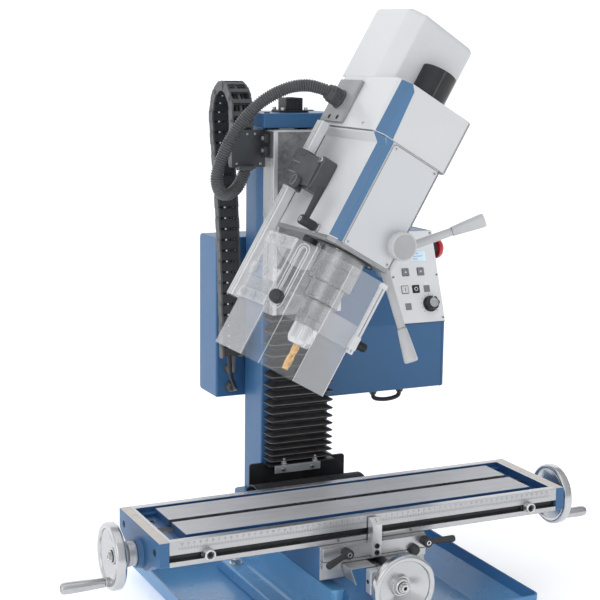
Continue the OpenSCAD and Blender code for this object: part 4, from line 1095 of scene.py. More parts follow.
for nm, x in (("table_stop_left", -282), ("table_stop_right", 298)):
    p = Piece(nm, nm, (nm,), T(x, -180, 180.5), slot="steel")
    A = axis_to((0, 0, 0), (0, -1, 0))
    p.add(lathe([(4.4, 0.3), (8.4, 0.3), (9.0, 0.9), (9.0, 11.2), (8.2, 12.2), (6.4, 12.2), (5.6, 11.2), (5.2, 9.4), (4.4, 9.4), (4.4, 0.3)], 44), ZINC, A)
    p.many(cap_screw(5.2, 2.2, BLACK_ST), A @ T(0, 0, 7.4))
    p.add(cyl(2.9, -5, 1.2, 0.2, 20), STEEL, A)
    p.add(rbox(-8.8, 8.8, 4.1, 7.5, -5.9, 5.9, 0.6, 2), STEEL_D)
    p.done()


# ================================================================== feed screws and handwheels
def wheel_shape(p, M, cr, a, collar0):
    """M: local +Z out of the bearing face"""
    # graduated collar
    p.add(lathe([(9.1, collar0), (cr - 0.6, collar0), (cr, collar0 + 0.6), (cr, 15.6), (cr - 0.4, 16.0), (cr - 0.4, 16.6), (cr + 0.4, 17.0), (cr + 0.4, 20.6), (cr - 1.0, 21.6), (13.4, 22), (13.0, 22.6), (13.0, 31), (9.1, 31), (9.1, collar0)], 64), CAST_AL, M)
    p.add(collar_marks(cr, collar0 + 0.2, 40, 3.6, 2.2, 0.4, False), INK, M)
    for k in range(36):
        p.add(rbox(cr - 0.2, cr + 0.65, -0.5, 0.5, 17.2, 20.4, 0.15, 1), CAST_AL, M @ R(10 * k, "Z"))
    # dished wheel with a rolled rim
    body = [(12.9, 29.5), (16.5, 30.0), (28, 32.5), (43.5, 37.0), (45.5, 35.8), (48.5, 35.0), (50.8, 35.5), (52.4, 37.0), (53, 39.5), (53, 47.5), (52.5, 49.6), (51.2, 51.2), (49.2, 52), (46.2, 52),
            (44.6, 51.5), (43.6, 50.2), (43.2, 48.6), (43.0, 48.0), (16.4, 37.6), (15.0, 37.3), (13.8, 37.6), (13.2, 38.4), (12.9, 43.2), (12.0, 44.2), (9.0, 44.2)]
    p.add(lathe(body, 96), WHEEL, M)
    # shaft end with a hexagon nut
    p.add(cyl(9.8, 44.0, 45.4, 0.4, 36), BLACK_ST, M)
    p.add(plate(ngon(6.8, 6), 45.2, 50.6, 0.8, 2, [ngon(3.2, 6)]), ZINC, M)
    p.add(cyl(3.8, 45.4, 48.4, 0.1, 12), HOLE, M)
    # boss of the crank grip
    G = M @ R(a, "Z") @ T(45, 0, 0)
    p.add(lathe([(0, 40), (7.2, 40), (7.9, 41), (7.9, 51.8), (7.2, 53), (0, 53.1)], 36), WHEEL, G)
    p.add(cyl(3.9, 50, 119, 0.4, 20), STEEL, G)


def grip_shape(p, M, a):
    G = M @ R(a, "Z") @ T(45, 0, 53.4)
    p.add(lathe([(4.1, 0), (6.6, 0), (7.3, 0.5), (7.6, 1.6), (7.8, 8), (8.6, 26), (9.3, 48), (9.4, 58), (9.2, 64), (8.4, 68.2), (7.6, 69.6), (6.6, 70), (4.6, 70.0), (4.4, 69.2), (0, 69.2)], 44), GRIP_ST, G)
    p.add(lathe([(5.2, 69.9), (4.6, 70.0), (4.2, 69.5), (0, 69.4)], 24), BLACK_ST, G)
    p.add(lathe([(3.2, 69.2), (3.1, 70.0), (2.4, 70.2), (0, 70.2)], 24), ZINC, G)
    p.add(rbox(-3.4, 3.4, -0.5, 0.5, 69.6, 70.25, 0.1, 1), HOLE, G)


WL = T(TL - 16, -84, 161) @ R(-90, "Y")
WR = T(TR + 16, -84, 161) @ R(90, "Y")
WF = T(0, -243, 120) @ R(90, "X")
p = Piece("table_handwheels", "x_feed", ("x_screw", "x_handwheels"), slot="chrome_steel")
wheel_shape(p, WL, 19.6, 170, 8.0)
wheel_shape(p, WR, 19.6, 10, 8.0)
p.add(screw_thread(9, TL - 10, TR + 10), STEEL, T(0, -84, 161) @ R(90, "Y"))
for M in (WL, WR):
    p.add(cyl(8.95, -30, 46, 0.3, 32), STEEL, M)
p.done()
for nm, M, a in (("x_grip_left", WL, 170), ("x_grip_right", WR, 10)):
    p = Piece(nm, nm, (nm,), slot="chrome_steel")
    grip_shape(p, M, a)
    p.done()
p = Piece("cross_handwheel", "y_feed", ("y_screw", "y_handwheel"), slot="chrome_steel")
wheel_shape(p, WF, 16.4, -80, 1.4)
p.add(screw_thread(9, -216, 50), STEEL, T(0, 0, 120) @ R(-90, "X"))
p.add(cyl(8.95, -40, 46, 0.3, 32), STEEL, WF)
p.done()
p = Piece("y_grip_turned", "y_grip", ("y_grip",), slot="chrome_steel")
grip_shape(p, WF, -80)
p.done()

# ================================================================== head slide
p = Piece("head_slide", "carriage", ("carriage",), slot="machined_iron")
wg = 0.3
car = [(-65, 71.8), (-64.2, 71), (64.2, 71), (65, 71.8), (65, 115.0), (64.4, 115.7), (34.3, 115.7), (44.3, 97.7), (-44.3, 97.7), (-34.3, 115.7), (-64.4, 115.7), (-65, 115.0)]


def car_mat(c, n):
    if n[1] < -0.8 and c[1] < 75:
        return SCRAPED
    if abs(n[0]) > 0.7 and abs(c[0]) > 60:
        return BRIGHT
    return IRON


p.add(plate(car, 490, 803.2, 0.8, 2), car_mat)
p.add(rbox(-66, 66, 70.4, 97, 801.6, 804.6, 0.7, 2), BRIGHT)
# bright edge land on the left of the front face
p.add(rbox(-65.3, -58, 70.6, 72.2, 490.6, 801.5, 0.4, 1), BRIGHT)
p.add(rbox(58, 65.3, 70.6, 72.2, 490.6, 801.5, 0.4, 1), BRIGHT)
# lift nut
p.add(rbox(-14, 14, 97, 154, 600, 650, 1.0, 2), IRON)
p.add(ringz(9.1, 13, 650, 656, 0.4, 32), BRONZE, T(0, 140, 0))
# gib screws on the right side, clamp screws on the left
for z in (530, 590, 670, 740):
    M = axis_to((65, 106, z), (1, 0, 0))
    p.add(plate(ngon(5.6, 6), 0, 3.6, 0.4, 2), ZINC, M)
    p.add(cyl(2.8, 3.2, 6.6, 0.4, 18), STEEL_D, M)
# degree scale of the swivel on the front face
for k in range(-12, 13):
    t = math.radians(k * 5)
    g = ticks([(-0.3, 0.3, 64.5, 70.0 if k % 2 else 72.5)], 0.0)
    p.add(g, INK, Matrix(((1, 0, 0, 0), (0, 0, -1, 70.92), (0, 1, 0, 629), (0, 0, 0, 1))) @ R(-k * 5, "Z"))
# adapter strip that holds the top fold of the way cover
p.add(rbox(-62, 62, 78, 98, 489.2, 493.2, 0.8, 2), BLACK_ST)
p.done()

p = Piece("chain_plate", "carriage", ("chain_bracket",), slot="black_steel")
p.add(plate(rrect(-126, -65.2, 741, 804, 1.5, 3), -112, -108, 0.6, 2), DARK_ST, XZ)
p.add(rbox(-69, -65.2, 76, 112, 758, 802, 0.7, 2), DARK_ST)
for x, z in ((-98, 797), (-84, 797), (-74, 747), (-117, 747), (-117, 797)):
    p.many(pan_screw(2.2, 1.3), axis_to((x, 108, z), (0, -1, 0)))
# black clamp blocks with their screws between the plate and the slide
for z0 in (763, 783):
    p.add(rbox(-77.5, -68.8, 80, 97, z0, z0 + 15, 1.2, 2), PLASTIC)
    p.many(cap_screw(3.6, 2.6, ZINC), axis_to((-77.4, 88.5, z0 + 7.5), (-1, 0, 0)))
# end piece of the chain and the hose gland under the plate
p.add(rbox(-123, -85, 112.2, 130, 744, 752, 1.0, 2), PLASTIC)
M = axis_to((-104, 104.4, 741), (0, 0, -1))
p.add(plate(ngon(15.5, 6), -2, 4, 0.9, 2), PLASTIC_G, T(-104, 104.4, 741) @ R(180, "X"))
p.add(rbox(-119, -89, 92, 110, 739.5, 744.5, 0.8, 2), DARK_ST)
p.done()

# ================================================================== head
hp = [(-63, -43), (-51, -55), (55, -55), (55, 145), (-63, 145)]


def head_ring(hz, fl, d=0.0):
    """casting outline in plan; fl flares the left side, d draws all sides in"""
    return [(x, y, hz) for x, y in fillet([(-63 - fl + d, -43 - fl * 0.0 + d * 0.4), (-51 - fl * 0.62 + d * 0.4, -55 + d), (55 - d, -55 + d), (55 - d, 145 - d), (-63 - fl + d, 145 - d)], [2.2, 2.2, 4.0, 4.0, 4.0], 4)]


def cast_mat(c, n):
    # blue corner stripe: the chamfered corner and the strip of the front next to it; the chamfer takes a darker copy of
    # the stripe blue, painted shade
    if c[2] > -8 and n[1] < -0.4 and n[0] < -0.3 and c[1] < -40:
        return BLUE_STRIPE_SHADE
    return WHITE


p = Piece("head_body", "head", ("head_casting",), HEAD, slot="white_paint")
lv = [(-10.0, 0, 0.9), (-9.2, 0, 0.2), (-8.0, 0, 0)] + [(z, 0, 0) for z in (20, 60, 100, 138)] + [(155.4, 0, 0), (156.2, 0.5, 0), (165.2, 12.2, 0), (165.9, 12.6, 0), (168.2, 12.6, 0), (169.0, 12.0, 0.7)]
p.add(loft([head_ring(z, f, d) for z, f, d in lv]), cast_mat)
p.add(plate([(-51.4, -9.5), (-43.0, -9.5), (-43.0, 168.6), (-58.4, 168.6), (-58.0, 165.6), (-51.4, 156)], 55.0, 55.35, 0.1, 1), BLUE_ST, XZ)
# ground bottom flange
p.add(plate(fillet([(-63.4, -43.2), (-51.2, -55.4), (55.4, -55.4), (55.4, 145.4), (-63.4, 145.4)], [2.2, 2.2, 4, 4, 4], 3), -17, -9.9, 0.7, 2), STRIP)
p.add(ringz(38.4, 51.5, -19.4, -16.6, 0.5, 72), BLACK_ST)
p.add(ringz(38.0, 40.4, -20.2, -17, 0.4, 72), STEEL_D)
for k in range(4):
    t = math.radians(45 + 90 * k)
    p.many(cap_screw(2.8, 1.4, ZINC), T(45.8 * math.cos(t), 45.8 * math.sin(t), -19.3) @ R(180, "X"))
# round plug under the head
p.add(lathe([(0, -27), (10.5, -27), (12.4, -25.6), (12.8, -23.5), (12.8, -16.8), (0, -16.8)], 40), PLASTIC, T(-44, 44, 0))
# boss of the quill handle on the right
p.add(cyl(28, 0, 8.2, 1.2, 56), WHITE, axis_to((50, 46, 15), (1, 0, 0)))
# swivel flange with its degree marks, and the pivot pin
p.add(cyl(62, 0, 12.8, 0.8, 96), IRON, axis_to((0, 142, 0), (0, 1, 0)))
p.add(cyl(19.9, 10, 26, 0.6, 48), STEEL, axis_to((0, 142, 0), (0, 1, 0)))
for k in range(72):
    G = axis_to((0, 142, 0), (0, 1, 0)) @ R(5 * k, "Z")
    p.add(quad((62.05, -0.2, 4 if k % 2 else 2), (62.05, 0.2, 4 if k % 2 else 2), (62.05, 0.2, 9), (62.05, -0.2, 9)), INK, G)
# plain edge land beside the front plate, in darker grey: painted shade on the head's right edge
p.add(rbox(53.1, 55.5, -55.6, -51.5, -9.6, 168.4, 0.3, 1), SHADE_E)
p.done()

p = Piece("front_plate", "head", ("front_panel",), HEAD, slot="panel_grey")
p.add(plate(rrect(-42, 53, -12, 167, 5.0, 4), 55.1, 57.6, 0.6, 2), PALE_P, XZ)
a, b = rrect(-41.3, 52.3, -11.3, 166.3, 4.7, 4), rrect(-40.5, 51.5, -10.5, 165.5, 4.2, 4)
p.add(plate(a, 57.5, 57.68, 0.0, 1, [b]), INK, XZ)
for x, z in ((-35.2, -5.0), (46.4, -5.0), (-35.2, 160.0), (46.4, 160.0)):
    p.many(pan_screw(2.7, 1.4), axis_to((x, -57.6, z), (0, -1, 0)))
p.done()

p = Piece("belt_cover", "head", ("upper_cover",), HEAD, slot="white_paint")


def cov_mat(c, n):
    if n[1] < -0.4 and n[0] < -0.3 and c[1] < -34:
        return BLUE_ST
    return WHITE


cp = fillet([(-80, -38), (-63, -55), (61.5, -55), (70, -46), (70, 150), (-80, 150)], [2.5, 2.5, 1.5, 1.5, 7, 7], 4)
# right front chamfer of the cover in the darker grey copy: painted shade
p.add(plate(cp, 169.3, 263, 1.4, 3), lambda c, n: SHADE_E if n[0] > 0.4 and n[1] < -0.3 and c[1] < -44 else WHITE)
# blue stripe: most of the folded corner, in a darker copy of the stripe blue as painted shade, and a strip of the front
# narrowing to the top
n7 = 0.7071
p.add(plate([(-75.2, -42.8), (-63.4, -54.6), (-63.4 - 0.4 * n7, -54.6 - 0.4 * n7), (-75.2 - 0.4 * n7, -42.8 - 0.4 * n7)], 169.8, 261.8, 0.0, 1), BLUE_STRIPE_SHADE)
p.add(plate([(-63.8, 169.8), (-46.7, 169.8), (-51.9, 252.9), (-60.4, 262.0), (-63.8, 262.0)], 54.9, 55.4, 0.1, 1), BLUE_ST, XZ)
# fold line of the lower edge, and the small fixing screws
p.add(plate(fillet([(-80.5, -38.2), (-63.2, -55.5), (61.7, -55.5), (70.5, -46.2), (70.5, 150.5), (-80.5, 150.5)], [2.5, 2.5, 1.5, 1.5, 7, 7], 4), 169.3, 170.6, 0.3, 1), WHITE)
p.many(pan_screw(3.0, 1.8), axis_to((-80, -2, 178), (-1, 0, 0)))
p.many(pan_screw(3.0, 1.8), axis_to((70, 0, 178), (1, 0, 0)))
p.many(pan_screw(3.0, 1.8), axis_to((70, 120, 178), (1, 0, 0)))
for k in range(9):
    p.add(plate(slotpts(-24, 24, 0, 1.6), -0.1, 0.25, 0.05, 1), HOLE, axis_to((70.0, 70, 196 + 6.4 * k), (1, 0, 0)))
p.done()

p = Piece("motor_hood", "head", ("motor_cover",), HEAD, slot="white_paint")
mp = turned(fillet([(-79, 165), (-79, 47), (-66, 6), (45, 6), (45, 165)], [9, 20, 5, 13, 9], 6), True)


def hood_top(x, y):
    h = 393.6 + (y - 47) * 0.021 if y > 47 else 386.2 + (y - 6) * 0.181
    return h - (x + 66) / 111.0 * 4.4


rings = [[(x, y, 263.2) for x, y in mp]]
for k in range(8):
    t = math.pi / 2 * k / 7
    rings.append([(x, y, hood_top(x, y) - 9 + 9 * math.sin(t)) for x, y in inset(mp, 9 * (1 - math.cos(t)))])
last = rings[-1]
for q in (0.86, 0.7, 0.5, 0.28, 0.08):
    rings.append([(x, y, hood_top(x, y)) for x, y in ((-17 + (a - -17) * q, 85 + (b - 85) * q) for a, b, _ in last)])
p.add(loft(rings), WHITE)
for x, y, d in ((45, 120, (1, 0, 0)), (45, 40, (1, 0, 0))):
    p.many(pan_screw(3.0, 1.8), axis_to((x, y, 274), d))
for k in range(10):
    p.add(plate(slotpts(-40, 40, 0, 1.8), -0.1, 0.25, 0.05, 1), HOLE, axis_to((-14, 165.0, 300 + 7.4 * k), (0, 1, 0)))
p.done()

p = Piece("drawbar_hood", "head", ("drawbar_cap",), HEAD @ T(1, 0, 0), slot="black_plastic")
p.add(lathe([(0, 263.2), (31.2, 263.2), (31.2, 265.4), (30, 266), (30, 316.2), (29.4, 317.4), (28, 318), (0, 318)], 96), PLASTIC)
for k in range(24):
    p.add(rbox(29.4, 30.7, -0.55, 0.55, 267, 315.5, 0.25, 1), PLASTIC, R(150 + 4.4 * k, "Z"))
# one rib in lighter grey plastic: painted highlight along the ribbed side
p.add(rbox(29.2, 30.9, -1.3, 1.3, 266, 317, 0.3, 1), PLASTIC_G, R(150 + 4.4 * 24.4, "Z"))
p.done()

# motor, pulleys and belt stay as built, with their own finishes
def refinish(node, mat):
    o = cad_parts[node]
    o.data.materials.clear()
    o.data.materials.append(mat)


refinish("motor", BLACK_ST)
refinish("motor_pulley", ALU)
refinish("spindle_pulley", ALU)
refinish("drive_belt", RUBBER)
refinish("quill_bearings", STEEL)
refinish("feed_nuts", BRONZE)

# ================================================================== hose
p = Piece("hose_socket", "head", ("hose_connector",), HEAD, slot="black_plastic")
p.add(plate(rrect(64, 142, 174, 252, 3.0, 4), -86.2, -80.1, 0.9, 2), FLANGE, YZ)
p.add(plate(rrect(68, 138, 178, 248, 2.0, 3), -86.5, -86.1, 0.1, 1), FLANGE, YZ)
for y, z in ((84, 182), (113, 182)):
    N = axis_to((-86.4, y, z), (-1, 0, 0))
    p.add(cyl(4.2, -0.3, 0.2, 0.05, 28), HOLE, N)
    p.many(cap_screw(3.3, 0.9, BLACK_ST), N)
E = axis_to((-86, 106, 214), (-1, 0, 0))
p.add(lathe([(0, 0), (16.4, 0), (16.8, 0.6), (16.8, 3.2), (15.4, 4.0), (14.4, 4.6), (14.4, 15.4), (15.2, 16.2), (15.2, 20.4), (14.4, 21.4), (13.4, 21.8), (13.2, 26.6), (12.4, 27.4), (11.4, 27.6), (0, 27.6)], 48), PLASTIC_G, E)
for k in range(14):
    p.add(rbox(14.0, 15.2, -0.9, 0.9, 5.2, 15.0, 0.4, 1), PLASTIC_G, E @ R(360 / 14 * k, "Z"))
for k in (1, 4, 8, 11):
    p.add(rbox(14.6, 15.7, -2.4, 2.4, 17.2, 19.6, 0.3, 1), PLASTIC, E @ R(360 / 14 * k + 8, "Z"))
p.done()

hose_pts = [(13.5, 24, 869), (3, 26, 874), (-25, 32, 880), (-60, 40, 874), (-100, 52, 850), (-135, 65, 808), (-156, 76, 762), (-163, 84, 728), (-154, 91, 703), (-136, 97, 698), (-118, 101, 710), (-104, 104, 735), (-103.5, 104.3, 740)]
pts, s = resample(spline(hose_pts, 30), 0.66)
p = Piece("corrugated_hose", None, ("hose",), slot="grey_hose")
ph = (s / 4.0) % 1.0
prof = np.where(ph < 0.45, 10.8, np.where(ph < 0.6, 9.7, np.where(ph < 0.88, 8.4, 9.7)))
prof = np.convolve(np.pad(prof, 1, mode="edge"), [0.2, 0.6, 0.2], "valid")
p.add(tube(pts, list(prof), 22), HOSE)
p.done(angle=60, blend=("carriage", "head", (-0.104, 0.104, 0.735), (0.017, 0.024, 0.866)))

# ================================================================== quill, spindle, cutter
p = Piece("quill_sleeve", "quill", ("quill",), HEAD, slot="steel")
p.add(lathe([(26, -104.4), (28.4, -105), (29.3, -104.4), (29.5, -103.4), (29.5, -76), (30.2, -74.6), (36.6, -74.2), (37.4, -73.4), (37.5, -72.6), (37.5, -46), (37.0, -45.6), (37.0, -43.6), (37.5, -43.2), (37.5, 149), (36.5, 150), (17, 150), (17, -75), (26, -75), (26, -104.4)], 96), QUILL)
p.add(ringz(17.0, 26.0, -105.1, -103.0, 0.3, 64), STEEL_D)
for k in range(3):
    t = math.radians(30 + 120 * k)
    p.add(cyl(1.8, 0, 0.4, 0.1, 16), HOLE, T(33.6 * math.cos(t), 33.6 * math.sin(t), -74.3) @ R(180, "X"))
p.done()

p = Piece("spindle_nose", "spindle", ("spindle",), HEAD, slot="steel")
p.add(cyl(16, -108, 256, 1.0, 48), STEEL)
nose = [(x, y) for x, y in circ(24, 64)]
p.add(lathe([(0, -105.4), (16, -105.4), (23.4, -105.4), (24, -106), (24, -121.4), (23.2, -122.2)][::-1] + [], 72) if False else lathe([(0, -148), (21.8, -148), (22.4, -147.4), (22.4, -136), (24, -135), (24, -107), (23.2, -105.4), (0, -105.4)], 72), STEEL_D)
# wrench flats
for k in (0, 2):
    p.add(rbox(21.2, 23.0, -11, 11, -146, -128, 0.4, 1), STEEL, R(90 * k + 20, "Z"))
# collet nut with key slots
nut = []
for k in range(96):
    a = 2 * math.pi * k / 96
    nut.append(21.5 - (2.2 if (k % 12) in (0, 1, 2) else 0.0))
rings = []
for z, sc in ((-182, 0.74), (-181.4, 0.80), (-176.5, 0.93), (-174, 0.985), (-172.5, 1.0), (-152, 1.0), (-149.4, 0.985), (-148.2, 0.95)):
    rings.append([(sc * q * math.cos(2 * math.pi * k / 96), sc * q * math.sin(2 * math.pi * k / 96), z) for k, q in enumerate(nut)])
p.add(loft(rings), BRIGHT)
p.add(ringz(6.1, 15.4, -183.0, -181.4, 0.4, 48), STEEL)
for k in range(8):
    p.add(rbox(6.4, 13.6, -0.3, 0.3, -183.3, -182.4, 0.1, 1), HOLE, R(45 * k, "Z"))
p.done()

# four-flute cutter with helical flutes
p = Piece("milling_cutter", "spindle", ("end_mill",), HEAD, slot="gold_coating")
n, rows = 64, []
for i in range(91):
    z = -226 + i * 0.5
    depth = 1.0 if z < -190 else max(0.0, 1 - (z + 190) / 7.0)
    tw = (z + 226) / 30.0 * math.pi * 0.62
    row = []
    for k in range(n):
        a = 2 * math.pi * k / n
        f = ((a - tw) * 4 / (2 * math.pi)) % 1.0
        cut = 0.0 if f < 0.22 else math.sin(math.pi * (f - 0.22) / 0.78) ** 0.8
        r = 6.0 - 2.5 * cut * depth
        row.append((r * math.cos(a), r * math.sin(a), z))
    rows.append(row)
p.add(loft(rows), GOLD)
p.add(cyl(6.0, -182, -141, 0.2, 40), STEEL)
p.done(angle=50)

# ================================================================== quill handle and fine feed
p = Piece("quill_handle", "star_handle", ("star_handle",), HEAD, slot="chrome_steel")
X = axis_to((0, 46, 15), (1, 0, 0))
p.add(cyl(11.9, -40, 100, 0.6, 40), STEEL, X)
p.add(lathe([(12.2, 58.6), (28.4, 58.6), (29.6, 59.6), (30, 61), (30, 71.6), (29.0, 72.6), (27.4, 73.0), (26.6, 76), (12.2, 76), (12.2, 58.6)], 72), STEEL_D, X)
p.add(collar_marks(30, 60.4, 50, 6.0, 3.6, 0.42, False), KEY_W, X)
for k in range(48):
    p.add(rbox(26.4, 27.2, -0.5, 0.5, 73.2, 75.8, 0.15, 1), STEEL_D, X @ R(7.5 * k, "Z"))
p.add(lathe([(11.9, 75.8), (19.0, 75.8), (20.4, 76.6), (22, 80), (22.4, 86), (22.4, 98), (21.6, 104), (18.8, 108.2), (14.0, 109.9), (0, 110.4)], 64), CAST_AL, X)
for x in (81.5, 85.0):
    p.add(ringz(20.4, 22.6, x, x + 1.1, 0.1, 56), STEEL_D, X)
p.add(cyl(8.0, 109.4, 111.2, 0.5, 36), STEEL, X)
p.add(cyl(3.6, 111.0, 111.4, 0.1, 6), HOLE, X)
for b in (60, -60, 180):
    M = T(87, 46, 15) @ R(90 + b, "X") @ R(33, "Y")
    p.add(lathe([(0, 12), (9.6, 12), (10.2, 14), (10.2, 22.5), (9.2, 24), (0, 24)], 36), CAST_AL, M)
    p.add(lathe([(0, 19), (7.9, 19), (6.9, 125.6), (0, 125.6)], 36), GRIP, M)
    p.add(lathe([(0, 125.2), (7.8, 125.2), (7.8, 126.4), (0, 126.4)], 36), STEEL_D, M)
    p.add(lathe([(0, 126.1), (7.4, 126.1), (8.0, 126.8), (8.4, 129), (9.0, 138), (10.2, 154), (11.3, 171), (11.6, 176.5), (11.7, 179.4), (11.3, 181.6), (10.4, 182.8), (9.6, 182.9), (8.8, 182.2), (0, 181.8)], 44), GRIP, M)
p.done()

p = Piece("fine_feed_wheel", "fine_feed", ("fine_feed_knob",), HEAD, slot="steel")
Y = axis_to((47, -57.7, 31), (0, -1, 0))
p.add(cyl(4.95, -28, 6, 0.3, 24), STEEL, Y)
p.add(lathe([(5.2, 0.4), (18, 0.4), (18.6, 1.0), (18.6, 6.0), (21.6, 6.6), (22.6, 7.6), (23, 9), (23.4, 19.6), (23.0, 22.4), (21.9, 23.9), (20.6, 24.2), (19.8, 23.6), (19.4, 22.8), (0, 22.6)], 72), GRIP, Y)
p.add(lathe([(19.7, 22.7), (19.3, 23.1), (12, 23.0), (0, 22.9)], 64), FACE_G, Y)
for k in range(40):
    p.add(rbox(22.5, 23.5, -0.7, 0.7, 9.6, 19.0, 0.25, 1), GRIP, Y @ R(9 * k, "Z"))
p.add(collar_marks(18.6, 1.4, 40, 3.6, 2.2, 0.36, False), INK, Y)
p.done()

# ================================================================== tool guard
p = Piece("guard_clamp", "head", ("guard_holder",), HEAD, slot="black_plastic")
B = T(-98, 95, 0)
prof = [(12.4, 42), (17.6, 42), (18.4, 42.8), (18.4, 50.4), (17.6, 51.2), (16.6, 51.6), (16.6, 53)]
for z in (60, 69, 78, 87):
    prof += [(16.8, z), (16.0, z + 0.4), (16.0, z + 1.8), (16.8, z + 2.2)]
prof += [(16.6, 97), (17.6, 97.4), (18.4, 98.2), (18.4, 107.2), (17.6, 108), (12.4, 108), (12.4, 42)]
p.add(lathe(prof, 64), PLASTIC_G, B)
for z0, z1 in ((43.2, 50.0), (98.6, 106.8)):
    for k in range(26):
        p.add(rbox(17.8, 18.9, -0.8, 0.8, z0, z1, 0.3, 1), PLASTIC_G, B @ R(360 / 26 * k, "Z"))
# lighter rings round the barrel between its grooves: painted highlight
for z in (66, 84):
    p.add(ringz(16.2, 17.1, z, z + 0.9, 0.2, 56), KEY_G, B)
arm = fillet([(96, 53), (96, 105), (58, 105.5), (55, 109), (46, 109), (42, 104), (42.5, 60), (50, 50), (66, 47.5)], [2, 2, 3, 3, 6, 7, 10, 8, 6], 4)
p.add(plate(arm, -90, -63.2, 2.2, 3), PLASTIC_G, YZ)
p.add(plate(fillet([(90.5, 57.5), (90.5, 99.5), (57, 100), (53, 103.4), (48.6, 103.4), (47.6, 102), (48, 62.8), (53, 55.4), (67, 53.2)], [2, 2, 2, 1.5, 0.8, 0.8, 6, 5, 4], 3), -90.6, -89.8, 0.3, 1), PLASTIC, YZ)
p.add(plate(fillet([(-113.6, 96), (-112.4, 87), (-107, 80), (-93, 53), (-89, 50), (-86, 60), (-86, 107), (-100, 108)], [2, 5, 6, 8, 4, 1, 3, 3], 4), 52.5, 104.5, 1.6, 3), PLASTIC_G)
p.add(lathe([(0, 0), (9.4, 0), (10.2, 0.8), (10.2, 7.6), (9.4, 8.8), (6, 9.4), (0, 9.6)], 44), PLASTIC_G, axis_to((-101, 71, 53.5), (-1, 0, 0)))
p.add(ringz(8.6, 9.5, 8.5, 9.3, 0.2, 44), KEY_G, axis_to((-101, 71, 53.5), (-1, 0, 0)))
p.many(cap_screw(5.2, 3.4, ZINC), axis_to((-90, 50.5, 101.5), (-1, 0, 0)))
p.done()

# quill clamp lever on the left wall: hub low, handle pointing up
p = Piece("quill_clamp", "quill_lock", ("quill_lock",), HEAD, slot="black_plastic")
Q = axis_to((-63, 4, -4), (-1, 0, 0))
p.add(cyl(5.9, -14, 18, 0.4, 28), STEEL_D, Q)
p.add(ringz(6.2, 9.0, 0.5, 3.2, 0.5, 36), ZINC, Q)
p.add(lathe([(0, 5), (6.6, 5), (7.4, 5.8), (8.0, 16), (8.4, 29), (8.2, 33.6), (7.0, 34.8), (5.2, 35), (4.8, 33.8), (0, 33.8)], 40), PLASTIC, Q)
for k in range(14):
    p.add(rbox(7.0, 8.1, -0.55, 0.55, 6.4, 17, 0.2, 1), PLASTIC, Q @ R(360 / 14 * k, "Z"))
p.many(cap_screw(4.4, 1.9, ZINC), Q @ T(0, 0, 33.4))
rings = []
for zz, w, h in ((1, 5.6, 5.2), (8, 5.4, 5.0), (18, 5.6, 5.0), (32, 6.6, 5.4), (48, 7.4, 5.9), (56, 7.4, 5.9), (60.5, 6.4, 5.0), (62.4, 4.4, 3.6), (63, 2.2, 1.8)):
    rings.append([(h * math.cos(t), w * math.sin(t), zz) for t in np.linspace(0, 2 * math.pi, 29)[:-1]])
p.add(loft(rings), PLASTIC, T(-89, 4, -4))
p.done()

p = Piece("guard_bar", "guard", ("guard_arm",), HEAD, slot="aluminium")
x0, x1, y0, y1 = -105.5, -90.5, 84.0, 106.0
gro = [(x0 + 1, y0), (x1 - 1, y0), (x1, y0 + 1), (x1, y1 - 1), (x1 - 1, y1), (x0 + 1, y1), (x0, y1 - 1),
       (x0, 102.2), (x0 + 2.2, 102.0), (x0 + 2.2, 98.2), (x0, 98.0), (x0, 95.8), (x0 + 0.7, 95.6), (x0 + 0.7, 94.4), (x0, 94.2), (x0, 92.2), (x0 + 2.2, 92.0), (x0 + 2.2, 88.2), (x0, 88.0), (x0, y0 + 1)]
p.add(plate(gro, 108.7, 165, 0.5, 1), GUARD_AL)
p.add(plate(gro, -158, 41.4, 0.5, 1), GUARD_AL)
p.add(cyl(11.9, 40, 110, 0.4, 40), GUARD_AL, T(-98, 95, 0))
p.add(plate(inset(turned(gro, True), 0.3), -158.8, -157.8, 0.2, 1), PLASTIC_G)
p.done()

lo_path = [np.array(q, float) for q in ((-98, 68), (-98, -34.5), (-79.5, -66.5), (-28.7, -95.9), (29.8, -95.9))]


def path_mitre(path, i):
    def nr(a, b):
        d = (b - a) / np.linalg.norm(b - a)
        return np.array([-d[1], d[0]])
    a, b = nr(path[i - 1], path[i]), nr(path[i], path[i + 1])
    return (a + b) / (1 + a @ b)


up_path = [np.array((-103, 83.9))] + [lo_path[i] - 5 * path_mitre(lo_path, i) for i in (1, 2, 3)] + [np.array((31.0, -100.9))]
SC = (lo_path[1] + lo_path[2]) / 2
SLOT = T(SC[0], SC[1], 0) @ R(30, "Z")          # middle of the narrow flat, -x out of its face


def flats(path, t):
    """outlines of the flats one after another, so that each keeps its own finish"""
    o = strip(path, t)
    m = len(path)
    return [[o[i], o[i + 1], o[2 * m - 2 - i], o[2 * m - 1 - i]] for i in range(m - 1)]


def pane(face):
    # cut ends of each flat in the lighter edge copy: painted highlight
    return lambda c, n: CLEAR_E if abs(n[2]) > 0.7 else face


def bends(p, path, z0, z1, r=0.75):
    # a thin tube along each bend in the lighter edge copy: painted highlight line
    for q, m in zip(path[1:4], (path_mitre(path, i) for i in (1, 2, 3))):
        p.add(tube([(q[0] - m[0] * 1.7, q[1] - m[1] * 1.7, z) for z in np.linspace(z0 + 0.2, z1 - 0.2, 3)], r, 8), CLEAR_E)


p = Piece("upper_shield", "guard", ("shield_upper",), HEAD, slot="clear_shield")
fl = flats(up_path, 3)
# the last flat in a whiter copy of the clear sheet: painted reflection
for i, face in ((0, CLEAR), (2, CLEAR), (3, CLEAR_M)):
    p.add(plate(fl[i], -155, -38, 0.0, 1), pane(face))
